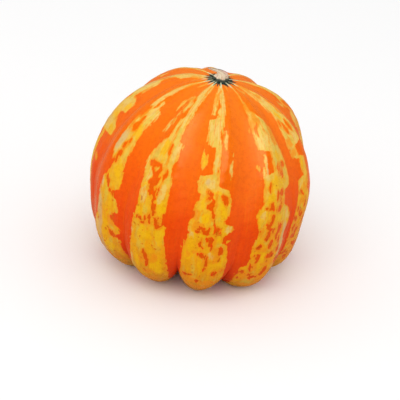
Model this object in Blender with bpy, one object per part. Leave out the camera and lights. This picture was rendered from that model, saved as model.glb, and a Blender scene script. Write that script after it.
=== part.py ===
"""Ribbed acorn squash with ten unequal lobes and a short, dry stem stub.

The rind is a sphere drawn out into lobes by formula, slightly bent to one side,
standing on the trimmed ends of its lobes. Metres, +Z up, front towards -Y, with the
origin on the floor under the middle of the squash.
"""

import math

import bmesh
import bpy
import numpy as np

OBJECT_NAME = "acorn_squash"

# The body of the squash. Polar angles are in degrees, 0 at the stem and 180 at the
# blossom end; azimuths are in degrees, 0 at the front (-Y) and 90 at the right (+X).
BODY_RADIUS = 0.0633
CROWN_SWELL, CROWN_POLAR, CROWN_SPREAD = 0.017, 40.0, 22.0
FOOT_SWELL, FOOT_POLAR, FOOT_SPREAD = 0.079, 125.0, 16.0
BLOSSOM_DENT, DENT_START, DENT_END = 0.28, 135.0, 175.0

# One entry for each lobe, round from the front left: the azimuth where it starts,
# how far its foot and its shoulder stand out, as shares of the body's radius.
LOBES = (
    (-41.0, -0.012, 0.000),
    (-7.5, -0.006, 0.000),
    (24.0, 0.022, 0.000),
    (60.5, 0.014, 0.006),
    (95.0, 0.000, 0.015),
    (131.0, 0.004, 0.000),
    (170.0, 0.000, 0.005),
    (206.0, -0.006, 0.006),
    (245.0, 0.000, -0.015),
    (282.0, -0.015, 0.000),
)

# Depth of the grooves between the lobes, as shares of the body's radius.
SHOULDER_GROOVE = 0.061
WAIST_GROOVE = 0.044
FOOT_GROOVE = 0.19
ARC_SHARE = 0.92  # how much of a half circle a lobe's section takes near its foot

# The squash leans to the right, more at the stem than at the base.
STEM_LEAN, BASE_LEAN = 6.3, 3.3
STEM_SHIFT = (0.0002, -0.0015)

TOE_LEVEL = -0.0510  # height of every lobe's end below the body's middle
TOE_TRIM = 0.0007    # how much the floor takes off the ends, which makes the flats

SEGMENTS_PER_LOBE = 10
RINGS = 32

# The stem stub: a corky pad that thins out and bends over to the left. Each row is one
# ring: where its middle lies, its radius and how far it tilts to the left in degrees.
STEM_STATIONS = (
    (0.0, 0.0, 0.0, 0.0040, 0.0),
    (0.0, 0.0, 0.0006, 0.0039, 0.0),
    (0.0, 0.0, 0.0013, 0.0037, 5.0),
    (-0.0002, 0.0001, 0.0020, 0.0031, 18.0),
    (-0.0012, 0.0002, 0.0024, 0.0020, 38.0),
    (-0.0026, 0.0004, 0.0028, 0.0014, 56.0),
    (-0.0042, 0.0007, 0.00325, 0.0011, 70.0),
    (-0.0062, 0.0011, 0.0037, 0.0009, 76.0),
    (-0.0079, 0.0015, 0.0042, 0.0006, 78.0),
)
STEM_SIDES = 20
STEM_GAP = 0.0003

RIND_COLOUR = (0.95, 0.22, 0.02, 1.0)
STEM_COLOUR = (0.62, 0.48, 0.31, 1.0)


def smooth_step(low, high, value):
    """Goes smoothly from 0 at low to 1 at high."""
    share = np.clip((value - low) / (high - low), 0.0, 1.0)
    return share * share * (3.0 - 2.0 * share)


def swell(value, middle, spread):
    """A rounded bump, 1 at the middle."""
    return np.exp(-(((value - middle) / spread) ** 2))


def lobe_position(turn):
    """Azimuth in degrees, lobe number and place across the lobe (-1 to 1) for a turn of 0 to 1."""
    starts = np.array([lobe[0] for lobe in LOBES])
    widths = np.diff(np.append(starts, starts[0] + 360.0))
    place = turn * len(LOBES)
    number = np.floor(place + 1e-6).astype(int) % len(LOBES)
    share = place - np.floor(place + 1e-6)
    return starts[number] + share * widths[number], number, 2.0 * share - 1.0


def groove_depth(polar):
    """Depth of the grooves at a polar angle, as a share of the radius."""
    shoulder = SHOULDER_GROOVE * smooth_step(5.0, 50.0, polar) * (1.0 - smooth_step(60.0, 100.0, polar))
    waist = WAIST_GROOVE * smooth_step(60.0, 100.0, polar)
    foot = FOOT_GROOVE * smooth_step(106.0, 146.0, polar)
    return (shoulder + waist + foot) * (1.0 - smooth_step(152.0, 176.0, polar))


def lobe_section(across, polar):
    """How deep in the groove a point is: 0 on the crest, 1 in the crease between two lobes."""
    wave = 0.5 - 0.5 * np.cos(np.pi * across)
    arc = (1.0 - np.sqrt(1.0 - ARC_SHARE * across**2)) / (1.0 - math.sqrt(1.0 - ARC_SHARE))
    roundness = smooth_step(60.0, 125.0, polar)
    return wave + (arc - wave) * roundness


def rind_points(turn, polar):
    """Places of the rind's surface for turns of 0 to 1 and polar angles in degrees."""
    azimuth, number, across = lobe_position(turn)
    feet = np.array([lobe[1] for lobe in LOBES])[number]
    shoulders = np.array([lobe[2] for lobe in LOBES])[number]
    crest = np.cos(0.5 * np.pi * across) ** 2
    profile = (
        1.0
        + CROWN_SWELL * swell(polar, CROWN_POLAR, CROWN_SPREAD)
        + FOOT_SWELL * swell(polar, FOOT_POLAR, FOOT_SPREAD)
        - BLOSSOM_DENT * smooth_step(DENT_START, DENT_END, polar)
    )
    lobed = (
        1.0
        - groove_depth(polar) * lobe_section(across, polar)
        + feet * crest * smooth_step(90.0, 140.0, polar) * (1.0 - smooth_step(150.0, 175.0, polar))
        + shoulders * crest * swell(polar, 50.0, 25.0) * smooth_step(3.0, 30.0, polar)
    )
    radius = BODY_RADIUS * profile * lobed
    side, forward = np.sin(np.radians(azimuth)), np.cos(np.radians(azimuth))
    out, up = np.sin(np.radians(polar)), np.cos(np.radians(polar))
    towards_stem = smooth_step(0.0, 90.0, 90.0 - polar)
    x = radius * out * side + STEM_SHIFT[0] * towards_stem
    y = -radius * out * forward + STEM_SHIFT[1] * towards_stem
    z = radius * up
    lean = np.radians(STEM_LEAN + (BASE_LEAN - STEM_LEAN) * smooth_step(40.0, 140.0, polar))
    return np.stack([x * np.cos(lean) + z * np.sin(lean), y, z * np.cos(lean) - x * np.sin(lean)], axis=-1)


def toe_reach(number):
    """How far the end of each lobe has to come down to stand on the floor."""
    polar = np.linspace(120.0, 170.0, 201)
    lowest = []
    for lobe in range(len(LOBES)):
        crest_turn = np.full_like(polar, (lobe + 0.5) / len(LOBES))
        lowest.append(rind_points(crest_turn, polar)[:, 2].min())
    return TOE_LEVEL - np.array(lowest)[number]


def standing_points(turn, polar):
    """The rind's surface with every lobe end at the same height."""
    points = rind_points(turn, polar)
    _, number, across = lobe_position(turn)
    crest = np.cos(0.5 * np.pi * across) ** 2
    near_toe = smooth_step(122.0, 148.0, polar) * (1.0 - smooth_step(152.0, 176.0, polar))
    points[..., 2] += toe_reach(number) * crest * near_toe
    return points


def floor_offset():
    """The shift that puts the floor at zero height and the origin under the middle."""
    turn, polar = np.meshgrid(np.arange(0.0, 1.0, 0.002), np.arange(0.0, 180.5, 1.0))
    points = standing_points(turn, polar).reshape(-1, 3)
    middle = (points.min(axis=0) + points.max(axis=0)) / 2.0
    return np.array([-middle[0], -middle[1], -(TOE_LEVEL + TOE_TRIM)])


def make_material(name, colour, roughness):
    """A plain Principled material."""
    material = bpy.data.materials.new(name)
    material.use_nodes = True
    shader = material.node_tree.nodes["Principled BSDF"]
    shader.inputs["Base Color"].default_value = colour
    shader.inputs["Roughness"].default_value = roughness
    shader.inputs["Metallic"].default_value = 0.0
    return material


def make_object(name, bm, collection, material=None):
    """Turns a bmesh into a smooth-shaded object in a collection."""
    mesh = bpy.data.meshes.new(name)
    bm.to_mesh(mesh)
    bm.free()
    mesh.shade_smooth()
    if material is not None:
        mesh.materials.append(material)
    made = bpy.data.objects.new(name, mesh)
    collection.objects.link(made)
    return made


def make_floor_cutter(collection):
    """A slab under the floor that trims the lobe ends flat."""
    size = 4.0 * BODY_RADIUS
    bm = bmesh.new()
    bmesh.ops.create_cube(bm, size=size)
    cutter = make_object("floor_cutter", bm, collection)
    cutter.location = (0.0, 0.0, -size / 2.0)
    cutter.hide_render = True
    cutter.display_type = "WIRE"
    return cutter


def make_fruit(collection, cutters):
    """The whole squash without its stem: one closed rind with flats under its lobes."""
    bm = bmesh.new()
    bmesh.ops.create_uvsphere(
        bm, u_segments=SEGMENTS_PER_LOBE * len(LOBES), v_segments=RINGS, radius=1.0
    )
    sphere = np.array([vertex.co for vertex in bm.verts])
    polar = np.degrees(np.arccos(np.clip(sphere[:, 2], -1.0, 1.0)))
    turn = np.degrees(np.arctan2(sphere[:, 1], sphere[:, 0])) / 360.0 % 1.0
    points = standing_points(turn, polar) + floor_offset()
    for vertex, point in zip(bm.verts, points):
        vertex.co = point
    fruit = make_object("fruit", bm, collection, make_material("rind", RIND_COLOUR, 0.3))
    trim = fruit.modifiers.new("floor_trim", "BOOLEAN")
    trim.operation = "DIFFERENCE"
    trim.solver = "EXACT"
    trim.object = make_floor_cutter(cutters)
    return fruit


def stem_point(ring, around):
    """A point on the stub's skin: its ring's number and its angle round the ring."""
    x, y, z, radius, tilt = STEM_STATIONS[ring]
    lean = math.radians(tilt)
    aside, back = radius * math.cos(around), radius * math.sin(around)
    return x + aside * math.cos(lean), y + back, z + aside * math.sin(lean)


def make_stem(collection):
    """The dry stub left on top, bent over to the left."""
    bm = bmesh.new()
    bmesh.ops.create_cone(
        bm, cap_ends=True, segments=STEM_SIDES, radius1=1.0, radius2=1.0, depth=1.0
    )
    uprights = [edge for edge in bm.edges if abs(edge.verts[0].co.z - edge.verts[1].co.z) > 0.5]
    last = len(STEM_STATIONS) - 1
    bmesh.ops.subdivide_edges(bm, edges=uprights, cuts=last - 1)
    for vertex in bm.verts:
        ring = round((vertex.co.z + 0.5) * last)
        vertex.co = stem_point(ring, math.atan2(vertex.co.y, vertex.co.x))
    stem = make_object("stem", bm, collection, make_material("dry_stem", STEM_COLOUR, 0.85))
    crown = standing_points(np.array(0.0), np.array(0.0)) + floor_offset()
    stem.location = tuple(crown + np.array([0.0, 0.0, STEM_GAP]))
    stem.rotation_euler = (0.0, math.radians(STEM_LEAN), 0.0)
    return stem


def build():
    """Clears the scene and makes the squash."""
    for old in list(bpy.data.objects):
        bpy.data.objects.remove(old, do_unlink=True)
    parts = bpy.data.collections.new(OBJECT_NAME)
    cutters = bpy.data.collections.new("cutters")
    for collection in (parts, cutters):
        bpy.context.scene.collection.children.link(collection)
    make_fruit(parts, cutters)
    make_stem(parts)


build()
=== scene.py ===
"""Looks of a ribbed acorn squash: striped waxy rind, green star, dry stem stub and a plain studio.

Places on the rind are given by azimuth and polar angle, in degrees. Azimuth 0 is the front (-Y)
and 90 the right (+X); polar angle 0 is the stem and 180 the blossom end. Lengths are in metres,
unless a name says otherwise.
"""

import logging
import math
from dataclasses import dataclass, field
from enum import Enum

import bmesh
import bpy
import numpy as np
from mathutils import Matrix, Vector


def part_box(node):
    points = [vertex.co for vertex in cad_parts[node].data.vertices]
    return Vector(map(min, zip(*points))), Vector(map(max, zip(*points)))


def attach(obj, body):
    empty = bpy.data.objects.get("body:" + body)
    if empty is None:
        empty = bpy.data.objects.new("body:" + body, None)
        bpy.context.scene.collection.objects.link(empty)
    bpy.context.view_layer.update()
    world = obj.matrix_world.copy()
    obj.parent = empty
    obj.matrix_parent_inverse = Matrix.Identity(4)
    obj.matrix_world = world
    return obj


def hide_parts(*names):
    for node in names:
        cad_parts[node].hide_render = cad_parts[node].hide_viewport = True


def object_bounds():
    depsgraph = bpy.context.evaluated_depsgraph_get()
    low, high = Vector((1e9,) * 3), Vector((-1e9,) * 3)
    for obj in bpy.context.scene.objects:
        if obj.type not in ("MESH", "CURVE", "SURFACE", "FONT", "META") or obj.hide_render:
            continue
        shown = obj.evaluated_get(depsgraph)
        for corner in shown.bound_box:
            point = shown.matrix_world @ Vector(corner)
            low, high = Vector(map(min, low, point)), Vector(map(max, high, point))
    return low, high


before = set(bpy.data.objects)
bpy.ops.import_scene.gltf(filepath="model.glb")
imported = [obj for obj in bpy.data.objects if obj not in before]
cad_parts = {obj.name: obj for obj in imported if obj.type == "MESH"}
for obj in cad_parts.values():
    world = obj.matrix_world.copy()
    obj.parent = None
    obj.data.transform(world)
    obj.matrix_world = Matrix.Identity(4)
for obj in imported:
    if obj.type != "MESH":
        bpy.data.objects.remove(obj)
CAD_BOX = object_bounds()

LOG = logging.getLogger("squash")
BODY = "root"

DEGREE_MM = 1.105  # what one degree of polar angle measures on the rind
FIELD_MM = 4.0  # how far the stored distances reach
FLECK_ROUNDNESS = 2.6  # 2 makes an ellipse, more makes it squarer
SMALLEST_HALF_MM = 0.25  # half the least width and length of a fleck
BREAK_GROWTH_MM = 0.35  # how much larger the orange flecks come out than they are listed
AMBER_RIM_MM = 0.30  # the amber edge round every orange fleck
TINY = 1e-6
WAVE_STRETCH = (0.6, 1.6)  # how much finer or coarser than asked a wave may be
WAVE_LEVEL = 0.6  # keeps a sum of waves mostly between -1 and 1

Colour = tuple[float, float, float, float]
Span = tuple[float, float]  # where something starts and ends, or the middle and spread of a swell
Socket = bpy.types.NodeSocket
Array = np.ndarray
Names = tuple[str, ...]
Source = Socket | float | Colour
Sources = dict[str | int, Source]
Stops = tuple[tuple[float, Colour], ...]


# ------------------------------------------------------------------ small helpers


def smooth_step(low: float, high: float, value: Array) -> Array:
    """Goes smoothly from 0 at low to 1 at high."""
    share = np.clip((value - low) / (high - low), 0.0, 1.0)
    return share * share * (3.0 - 2.0 * share)


def band(rise: Span, fall: Span, value: Array) -> Array:
    """Comes in over one span and goes out over a later one."""
    return smooth_step(*rise, value) * (1.0 - smooth_step(*fall, value))


def swell(value: Array, middle: float, spread: float) -> Array:
    """A rounded bump, 1 at the middle."""
    return np.exp(-(((value - middle) / spread) ** 2))


def wrapped(degrees: Array) -> Array:
    """The same angle between -180 and 180 degrees."""
    return (degrees + 180.0) % 360.0 - 180.0


def on_ring(around: Array, height: Array) -> Array:
    """Places on a ring of radius 1, an angle and a height each: a noise over them has no seam."""
    return np.stack([np.sin(around), np.cos(around), height], -1)


def srgb(red: int, green: int, blue: int) -> Colour:
    """A colour as seen on a screen, in the linear values that shaders use.

    Args:
        red, green, blue: screen values of 0 to 255.

    Returns:
        The linear colour with full alpha.
    """
    shares = (red / 255.0, green / 255.0, blue / 255.0)
    linear = (s / 12.92 if s <= 0.04045 else ((s + 0.055) / 1.055) ** 2.4 for s in shares)
    return (*linear, 1.0)


def waves(points: Array, scale: float, seed: int, count: int = 24) -> Array:
    """Smooth noise of about -1 to 1, as a sum of waves in random directions.

    Args:
        points: places, one row each.
        scale: bumps per unit of length.
        seed: picks the pattern.
        count: how many waves are summed.

    Returns:
        One value for each point.
    """
    draw = np.random.default_rng(seed)
    total = np.zeros(len(points))
    for _ in range(count):
        bearing = draw.normal(size=3)
        bearing *= draw.uniform(*WAVE_STRETCH) / np.linalg.norm(bearing)
        total += np.sin(math.pi * scale * (points @ bearing) + draw.uniform(0, math.tau))
    return total * math.sqrt(2.0 / count) * WAVE_LEVEL


@dataclass(frozen=True)
class Bumps:
    """Smooth random bumps: how high they are, how many in a unit of length, and their pattern."""

    height: float
    scale: float
    seed: int

    def over(self, points: Array) -> Array:
        """The bumps' height at each place, which may be negative."""
        return self.height * waves(points, self.scale, self.seed)


# ------------------------------------------------------------------ the shape of the squash


@dataclass(frozen=True)
class Lobe:
    """One lobe: the azimuth where it starts, and how far its foot and shoulder stand out."""

    start: float
    foot: float = 0.0
    shoulder: float = 0.0


LOBES = (
    Lobe(-41.0, foot=-0.012),
    Lobe(-7.5, foot=-0.006),
    Lobe(24.0, foot=0.022),
    Lobe(60.5, foot=0.014, shoulder=0.006),
    Lobe(95.0, shoulder=0.015),
    Lobe(131.0, foot=0.004),
    Lobe(170.0, shoulder=0.005),
    Lobe(206.0, foot=-0.006, shoulder=0.006),
    Lobe(245.0, shoulder=-0.015),
    Lobe(282.0, foot=-0.015),
)


@dataclass(frozen=True)
class SquashForm:
    """The smooth shape of the whole squash, as a formula of turn and polar angle.

    A turn runs from 0 to 1 round the squash and passes every lobe in the same share of it,
    however wide the lobe is. Swells, dents and grooves are shares of the body's radius. Starts,
    ends and spans are the polar angles between which something comes in or goes out, and a
    swell's place is its middle and its spread.
    """

    radius: float = 0.0633
    crown_swell: float = 0.017
    crown_place: Span = (40, 22)
    foot_swell: float = 0.079
    foot_place: Span = (125, 16)
    blossom_dent: float = 0.28
    dent_span: Span = (135, 175)
    shoulder_groove: float = 0.061
    waist_groove: float = 0.044
    foot_groove: float = 0.19
    grooves_start: Span = (5, 50)
    waist_start: Span = (60, 100)
    foot_start: Span = (106, 146)
    grooves_end: Span = (152, 176)
    arc_share: float = 0.92
    rounding_span: Span = (60, 125)
    feet_start: Span = (90, 140)
    feet_end: Span = (150, 175)
    shoulder_place: Span = (50, 25)
    shoulder_start: Span = (3, 30)
    stem_lean: float = 6.3
    base_lean: float = 3.3
    lean_span: Span = (40, 140)
    stem_shift: Span = (0.0002, -0.0015)
    toe_level: float = -0.0510
    toe_trim: float = 0.0007
    toe_start: Span = (122, 148)
    toe_polars: Span = (120, 170)

    def lobe_position(self, turn: Array) -> tuple[Array, Array, Array]:
        """Where on which lobe a turn lies.

        Args:
            turn: shares of the way round.

        Returns:
            Azimuth, lobe number, and place across the lobe from -1 to 1.
        """
        starts = np.array([lobe.start for lobe in LOBES])
        widths = np.diff(np.append(starts, starts[0] + 360.0))
        place = turn * len(LOBES)
        number = np.floor(place + TINY).astype(int) % len(LOBES)
        share = place - np.floor(place + TINY)
        return starts[number] + share * widths[number], number, 2.0 * share - 1.0

    def groove_depth(self, polar: Array) -> Array:
        """Depth of the grooves between lobes.

        Args:
            polar: polar angles.

        Returns:
            Shares of the body's radius.
        """
        shoulder = self.shoulder_groove * band(self.grooves_start, self.waist_start, polar)
        waist = self.waist_groove * smooth_step(*self.waist_start, polar)
        foot = self.foot_groove * smooth_step(*self.foot_start, polar)
        return (shoulder + waist + foot) * (1 - smooth_step(*self.grooves_end, polar))

    def section(self, across: Array, polar: Array) -> Array:
        """How deep in the groove a point is: a wave near the stem and an arc lower down.

        Args:
            across: places across the lobe, -1 to 1.
            polar: polar angles.

        Returns:
            0 on the crest to 1 at the bottom of the groove.
        """
        wave = 0.5 - 0.5 * np.cos(np.pi * across)
        arc = (1 - np.sqrt(1 - self.arc_share * across**2)) / (1 - math.sqrt(1 - self.arc_share))
        return wave + (arc - wave) * smooth_step(*self.rounding_span, polar)

    def grown(self, turn: Array, polar: Array) -> Array:
        """The surface about the body's middle, before its lobes are brought to the floor.

        Args:
            turn, polar: shares of the way round, and polar angles.

        Returns:
            One place for each, in its last axis.
        """
        azimuth, number, across = self.lobe_position(turn)
        feet = np.array([lobe.foot for lobe in LOBES])[number]
        shoulders = np.array([lobe.shoulder for lobe in LOBES])[number]
        crest = np.cos(0.5 * np.pi * across) ** 2
        profile = (
            1
            + self.crown_swell * swell(polar, *self.crown_place)
            + self.foot_swell * swell(polar, *self.foot_place)
            - self.blossom_dent * smooth_step(*self.dent_span, polar)
        )
        shoulder = swell(polar, *self.shoulder_place) * smooth_step(*self.shoulder_start, polar)
        lobed = (
            1
            - self.groove_depth(polar) * self.section(across, polar)
            + feet * crest * band(self.feet_start, self.feet_end, polar)
            + shoulders * crest * shoulder
        )
        radius = self.radius * profile * lobed
        around, up = np.radians(azimuth), np.radians(polar)
        near_stem = smooth_step(0, 90, 90 - polar)
        x = radius * np.sin(up) * np.sin(around) + self.stem_shift[0] * near_stem
        y = -radius * np.sin(up) * np.cos(around) + self.stem_shift[1] * near_stem
        z = radius * np.cos(up)
        less = (self.base_lean - self.stem_lean) * smooth_step(*self.lean_span, polar)
        lean = np.radians(self.stem_lean + less)
        return np.stack([x * np.cos(lean) + z * np.sin(lean), y, z * np.cos(lean) - x * np.sin(lean)], -1)

    def toe_drops(self) -> Array:
        """How far the end of each lobe comes down to the height they all stand at.

        Returns:
            One value for each lobe, negative for downwards.
        """
        polar = np.linspace(*self.toe_polars, 201)
        crests = (np.full_like(polar, (lobe + 0.5) / len(LOBES)) for lobe in range(len(LOBES)))
        return self.toe_level - np.array([self.grown(crest, polar)[:, 2].min() for crest in crests])

    def standing(self, turn: Array, polar: Array) -> Array:
        """The surface with the end of every lobe brought down to the same height.

        Args:
            turn, polar: shares of the way round, and polar angles.

        Returns:
            One place for each, in its last axis.
        """
        points = self.grown(turn, polar)
        _, number, across = self.lobe_position(turn)
        crest = np.cos(0.5 * np.pi * across) ** 2
        near_toe = band(self.toe_start, self.grooves_end, polar)
        points[..., 2] += self.toe_drops()[number] * crest * near_toe
        return points

    def floor_shift(self) -> Array:
        """The move that puts the shape where the CAD squash stands.

        Returns:
            The move along each axis.
        """
        turn, polar = np.meshgrid(np.arange(0, 1, 0.002), np.arange(0, 180.5, 1.0))
        points = self.standing(turn, polar).reshape(-1, 3)
        middle = (points.min(axis=0) + points.max(axis=0)) / 2
        middle[2] = self.toe_level + self.toe_trim
        low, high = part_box("fruit")
        return np.array([(low.x + high.x) / 2, (low.y + high.y) / 2, low.z]) - middle


# ------------------------------------------------------------------ the markings of the rind


class Pigment(Enum):
    """The colours that patches of the rind have."""

    ORANGE = "orange"
    YELLOW = "yellow"
    CREAM = "cream"
    GOLD = "gold"
    AMBER = "amber"
    BROWN = "brown"
    # Not a colour of the rind: pale streaks of painted reflection, where the skin mirrors its bright
    # surroundings at a glancing angle.
    BLOOM = "painted_sheen"


@dataclass(frozen=True)
class Stripe:
    """A yellow stripe down a lobe, by its left and right edge at chosen polar angles."""

    stations: tuple[tuple[float, float, float], ...]

    def inside(self, azimuth: Array, polar: Array) -> Array:
        """Distance inside the stripe's edge.

        Args:
            azimuth, polar: the places, in degrees.

        Returns:
            Millimetres, negative outside.
        """
        polars, lefts, rights = (np.array(column) for column in zip(*self.stations))
        left = np.interp(polar, polars, lefts)
        right = np.interp(polar, polars, rights)
        across = (right - left) / 2 - np.abs(wrapped(azimuth - (left + right) / 2))
        along = np.minimum(polar - polars[0], polars[-1] - polar)
        return np.minimum(across * DEGREE_MM * np.sin(np.radians(polar)), along * DEGREE_MM)


@dataclass(frozen=True)
class Fleck:
    """A small patch: its middle, its width in azimuth, its length in polar angle and its slant."""

    azimuth: float
    polar: float
    width: float
    length: float
    slant: float = 0.0

    def add_to(self, distance: Array, azimuth: Array, polar: Array) -> None:
        """Raises a field of distances where this patch reaches further.

        Args:
            distance: millimetres inside the nearest patch, changed in place.
            azimuth, polar: the field's places, in degrees.
        """
        scale = DEGREE_MM * math.sin(math.radians(self.polar))
        half_width = max(self.width * scale / 2, SMALLEST_HALF_MM)
        half_length = max(self.length * DEGREE_MM / 2, SMALLEST_HALF_MM)
        down = (polar - self.polar) * DEGREE_MM
        aside = wrapped(azimuth - self.azimuth - self.slant * (polar - self.polar)) * scale
        near = (np.abs(down) < half_length + FIELD_MM) & (np.abs(aside) < half_width + FIELD_MM)
        aside, down = aside[near], down[near]
        wide, long = np.abs(aside) / half_width, np.abs(down) / half_length
        reach = (wide**FLECK_ROUNDNESS + long**FLECK_ROUNDNESS) ** (1 / FLECK_ROUNDNESS)
        inner = (1 - reach) * min(half_width, half_length)
        outer = (1 - reach) / np.maximum(reach, TINY) * np.hypot(aside, down)
        distance[near] = np.maximum(distance[near], np.where(reach < 1, inner, outer))


# The stripes of the lobes that face the front, from the left. Each row is polar angle, left edge,
# right edge.
FRONT_STRIPES = (
    Stripe((
        (7, -104, -80), (11, -105, -79), (15, -107, -85), (20, -108, -85), (23, -108, -93),
        (30, -108, -92.5), (33, -109, -87), (45, -109, -87), (47, -108, -82), (54, -108, -81),
        (56, -107, -87), (59, -107, -85), (61.5, -107, -82), (63, -107, -78), (68, -107, -77.5),
        (70, -107, -88), (80, -108, -88), (95, -109, -87), (112, -110, -86), (122, -110, -84),
        (140, -110, -86), (168, -105, -92),
    )),
    Stripe((
        (7, -62, -54), (14, -62, -55), (21, -62.5, -54.5), (29, -62, -54.5), (30.5, -61.5, -57),
        (33, -61, -57), (34, -60.5, -51), (38.5, -60, -51), (39.5, -60, -47.5), (44, -60, -47.5),
        (46, -60, -48.5), (68, -60, -48.6), (70, -58, -48), (74, -56, -47.3), (79, -57, -46.5),
        (82, -59.5, -46), (84.5, -60, -46.5), (86.5, -60, -50.5), (89.5, -60, -50), (91, -60.3, -46),
        (97, -60.5, -45), (98.5, -60.8, -48.5), (102, -61, -48), (104, -62, -46.5), (106, -64, -43.5),
        (108.5, -65.5, -43.5), (110, -66, -46), (113, -69, -43), (125, -73, -43.5), (140, -72, -46),
        (168, -66, -54),
    )),
    Stripe((
        (6, -31, -17), (15, -31, -17), (20, -30.5, -18), (25, -26.5, -19), (36, -26.5, -20.5),
        (38, -28.5, -20.5), (43, -29, -20.8), (48.5, -29.5, -20.5), (49.8, -32, -18.5), (53, -33, -18),
        (57, -36, -17.8), (61, -36.8, -19.5), (66, -36.5, -18), (70.5, -34, -16.8), (75, -33.5, -16.2),
        (84, -33, -16.3), (86, -33, -18), (91, -33.8, -18), (92, -34, -15.5), (100, -34.5, -14.6),
        (112, -35, -13.5), (122, -35, -12), (140, -34, -13), (168, -28, -20),
    )),
    Stripe((
        (6, -3, 7), (12, -5.5, 9), (18, -5.5, 9.8), (26, -5, 9.6), (29.2, -4.8, 9), (30, 1, 8.6),
        (31.8, 1, 8.6), (32.3, -5.5, 8.5), (37, -5, 8), (42, -3.6, 8), (46, -2.4, 7.6), (47.5, 2.2, 7.6),
        (53, 3, 7.2), (61, 3.6, 7.4), (62, -3.2, 7.6), (66.5, -3.4, 8.2), (68, -3.4, 14.6),
        (70.5, -3, 15.4), (71.5, -0.4, 15.5), (74, -0.8, 16), (76, -2.4, 16.3), (80, -2.8, 15.6),
        (82.5, -2, 14.6), (84, -2.2, 13.6), (85.5, -3.4, 14), (87, -3.9, 18.6), (90, -4.2, 18.8),
        (91.8, -4, 16), (93, -3.6, 14.6), (96, -4, 14), (98.2, -5, 16.5), (103, -5.8, 18.4),
        (112, -5.6, 18.8), (124, -6, 19), (140, -4, 19), (168, 2, 12),
    )),
    Stripe((
        (6, 34, 42), (12, 35, 40), (20, 34.5, 38.5), (27, 34, 39.5), (29.5, 34, 44), (33, 33, 49),
        (38, 33, 54), (48, 34, 55), (49.2, 42, 56), (51, 42, 56.5), (60, 42, 57.5), (61.5, 35, 58),
        (70.5, 35, 58), (71.5, 35, 51.5), (76, 35, 50.5), (77.5, 34, 50.5), (79, 32.5, 51),
        (81.5, 31.8, 54), (83, 31.6, 56), (86, 31.6, 57.5), (87, 33, 57.5), (91, 34.3, 57), (93, 34, 55),
        (98, 32.4, 54), (105, 32.2, 54), (108, 32.5, 53), (112, 32, 52), (113.6, 28, 52), (122, 27.5, 51),
        (140, 31, 54), (168, 38, 46),
    )),
    Stripe((
        (7, 62, 72), (13, 63, 74), (20, 64, 79), (25, 65, 78), (36, 67.5, 78), (42, 66, 79),
        (51, 65.5, 79), (52.5, 65.7, 70.5), (58, 66, 70.5), (60, 70.5, 74.8), (69.5, 70.3, 74.8),
        (71, 66.5, 74), (79, 66.5, 73.5), (80.5, 65, 75), (90, 63, 79), (100, 62, 83), (120, 62.5, 88),
        (140, 67, 88), (168, 74, 82),
    )),
)

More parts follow.
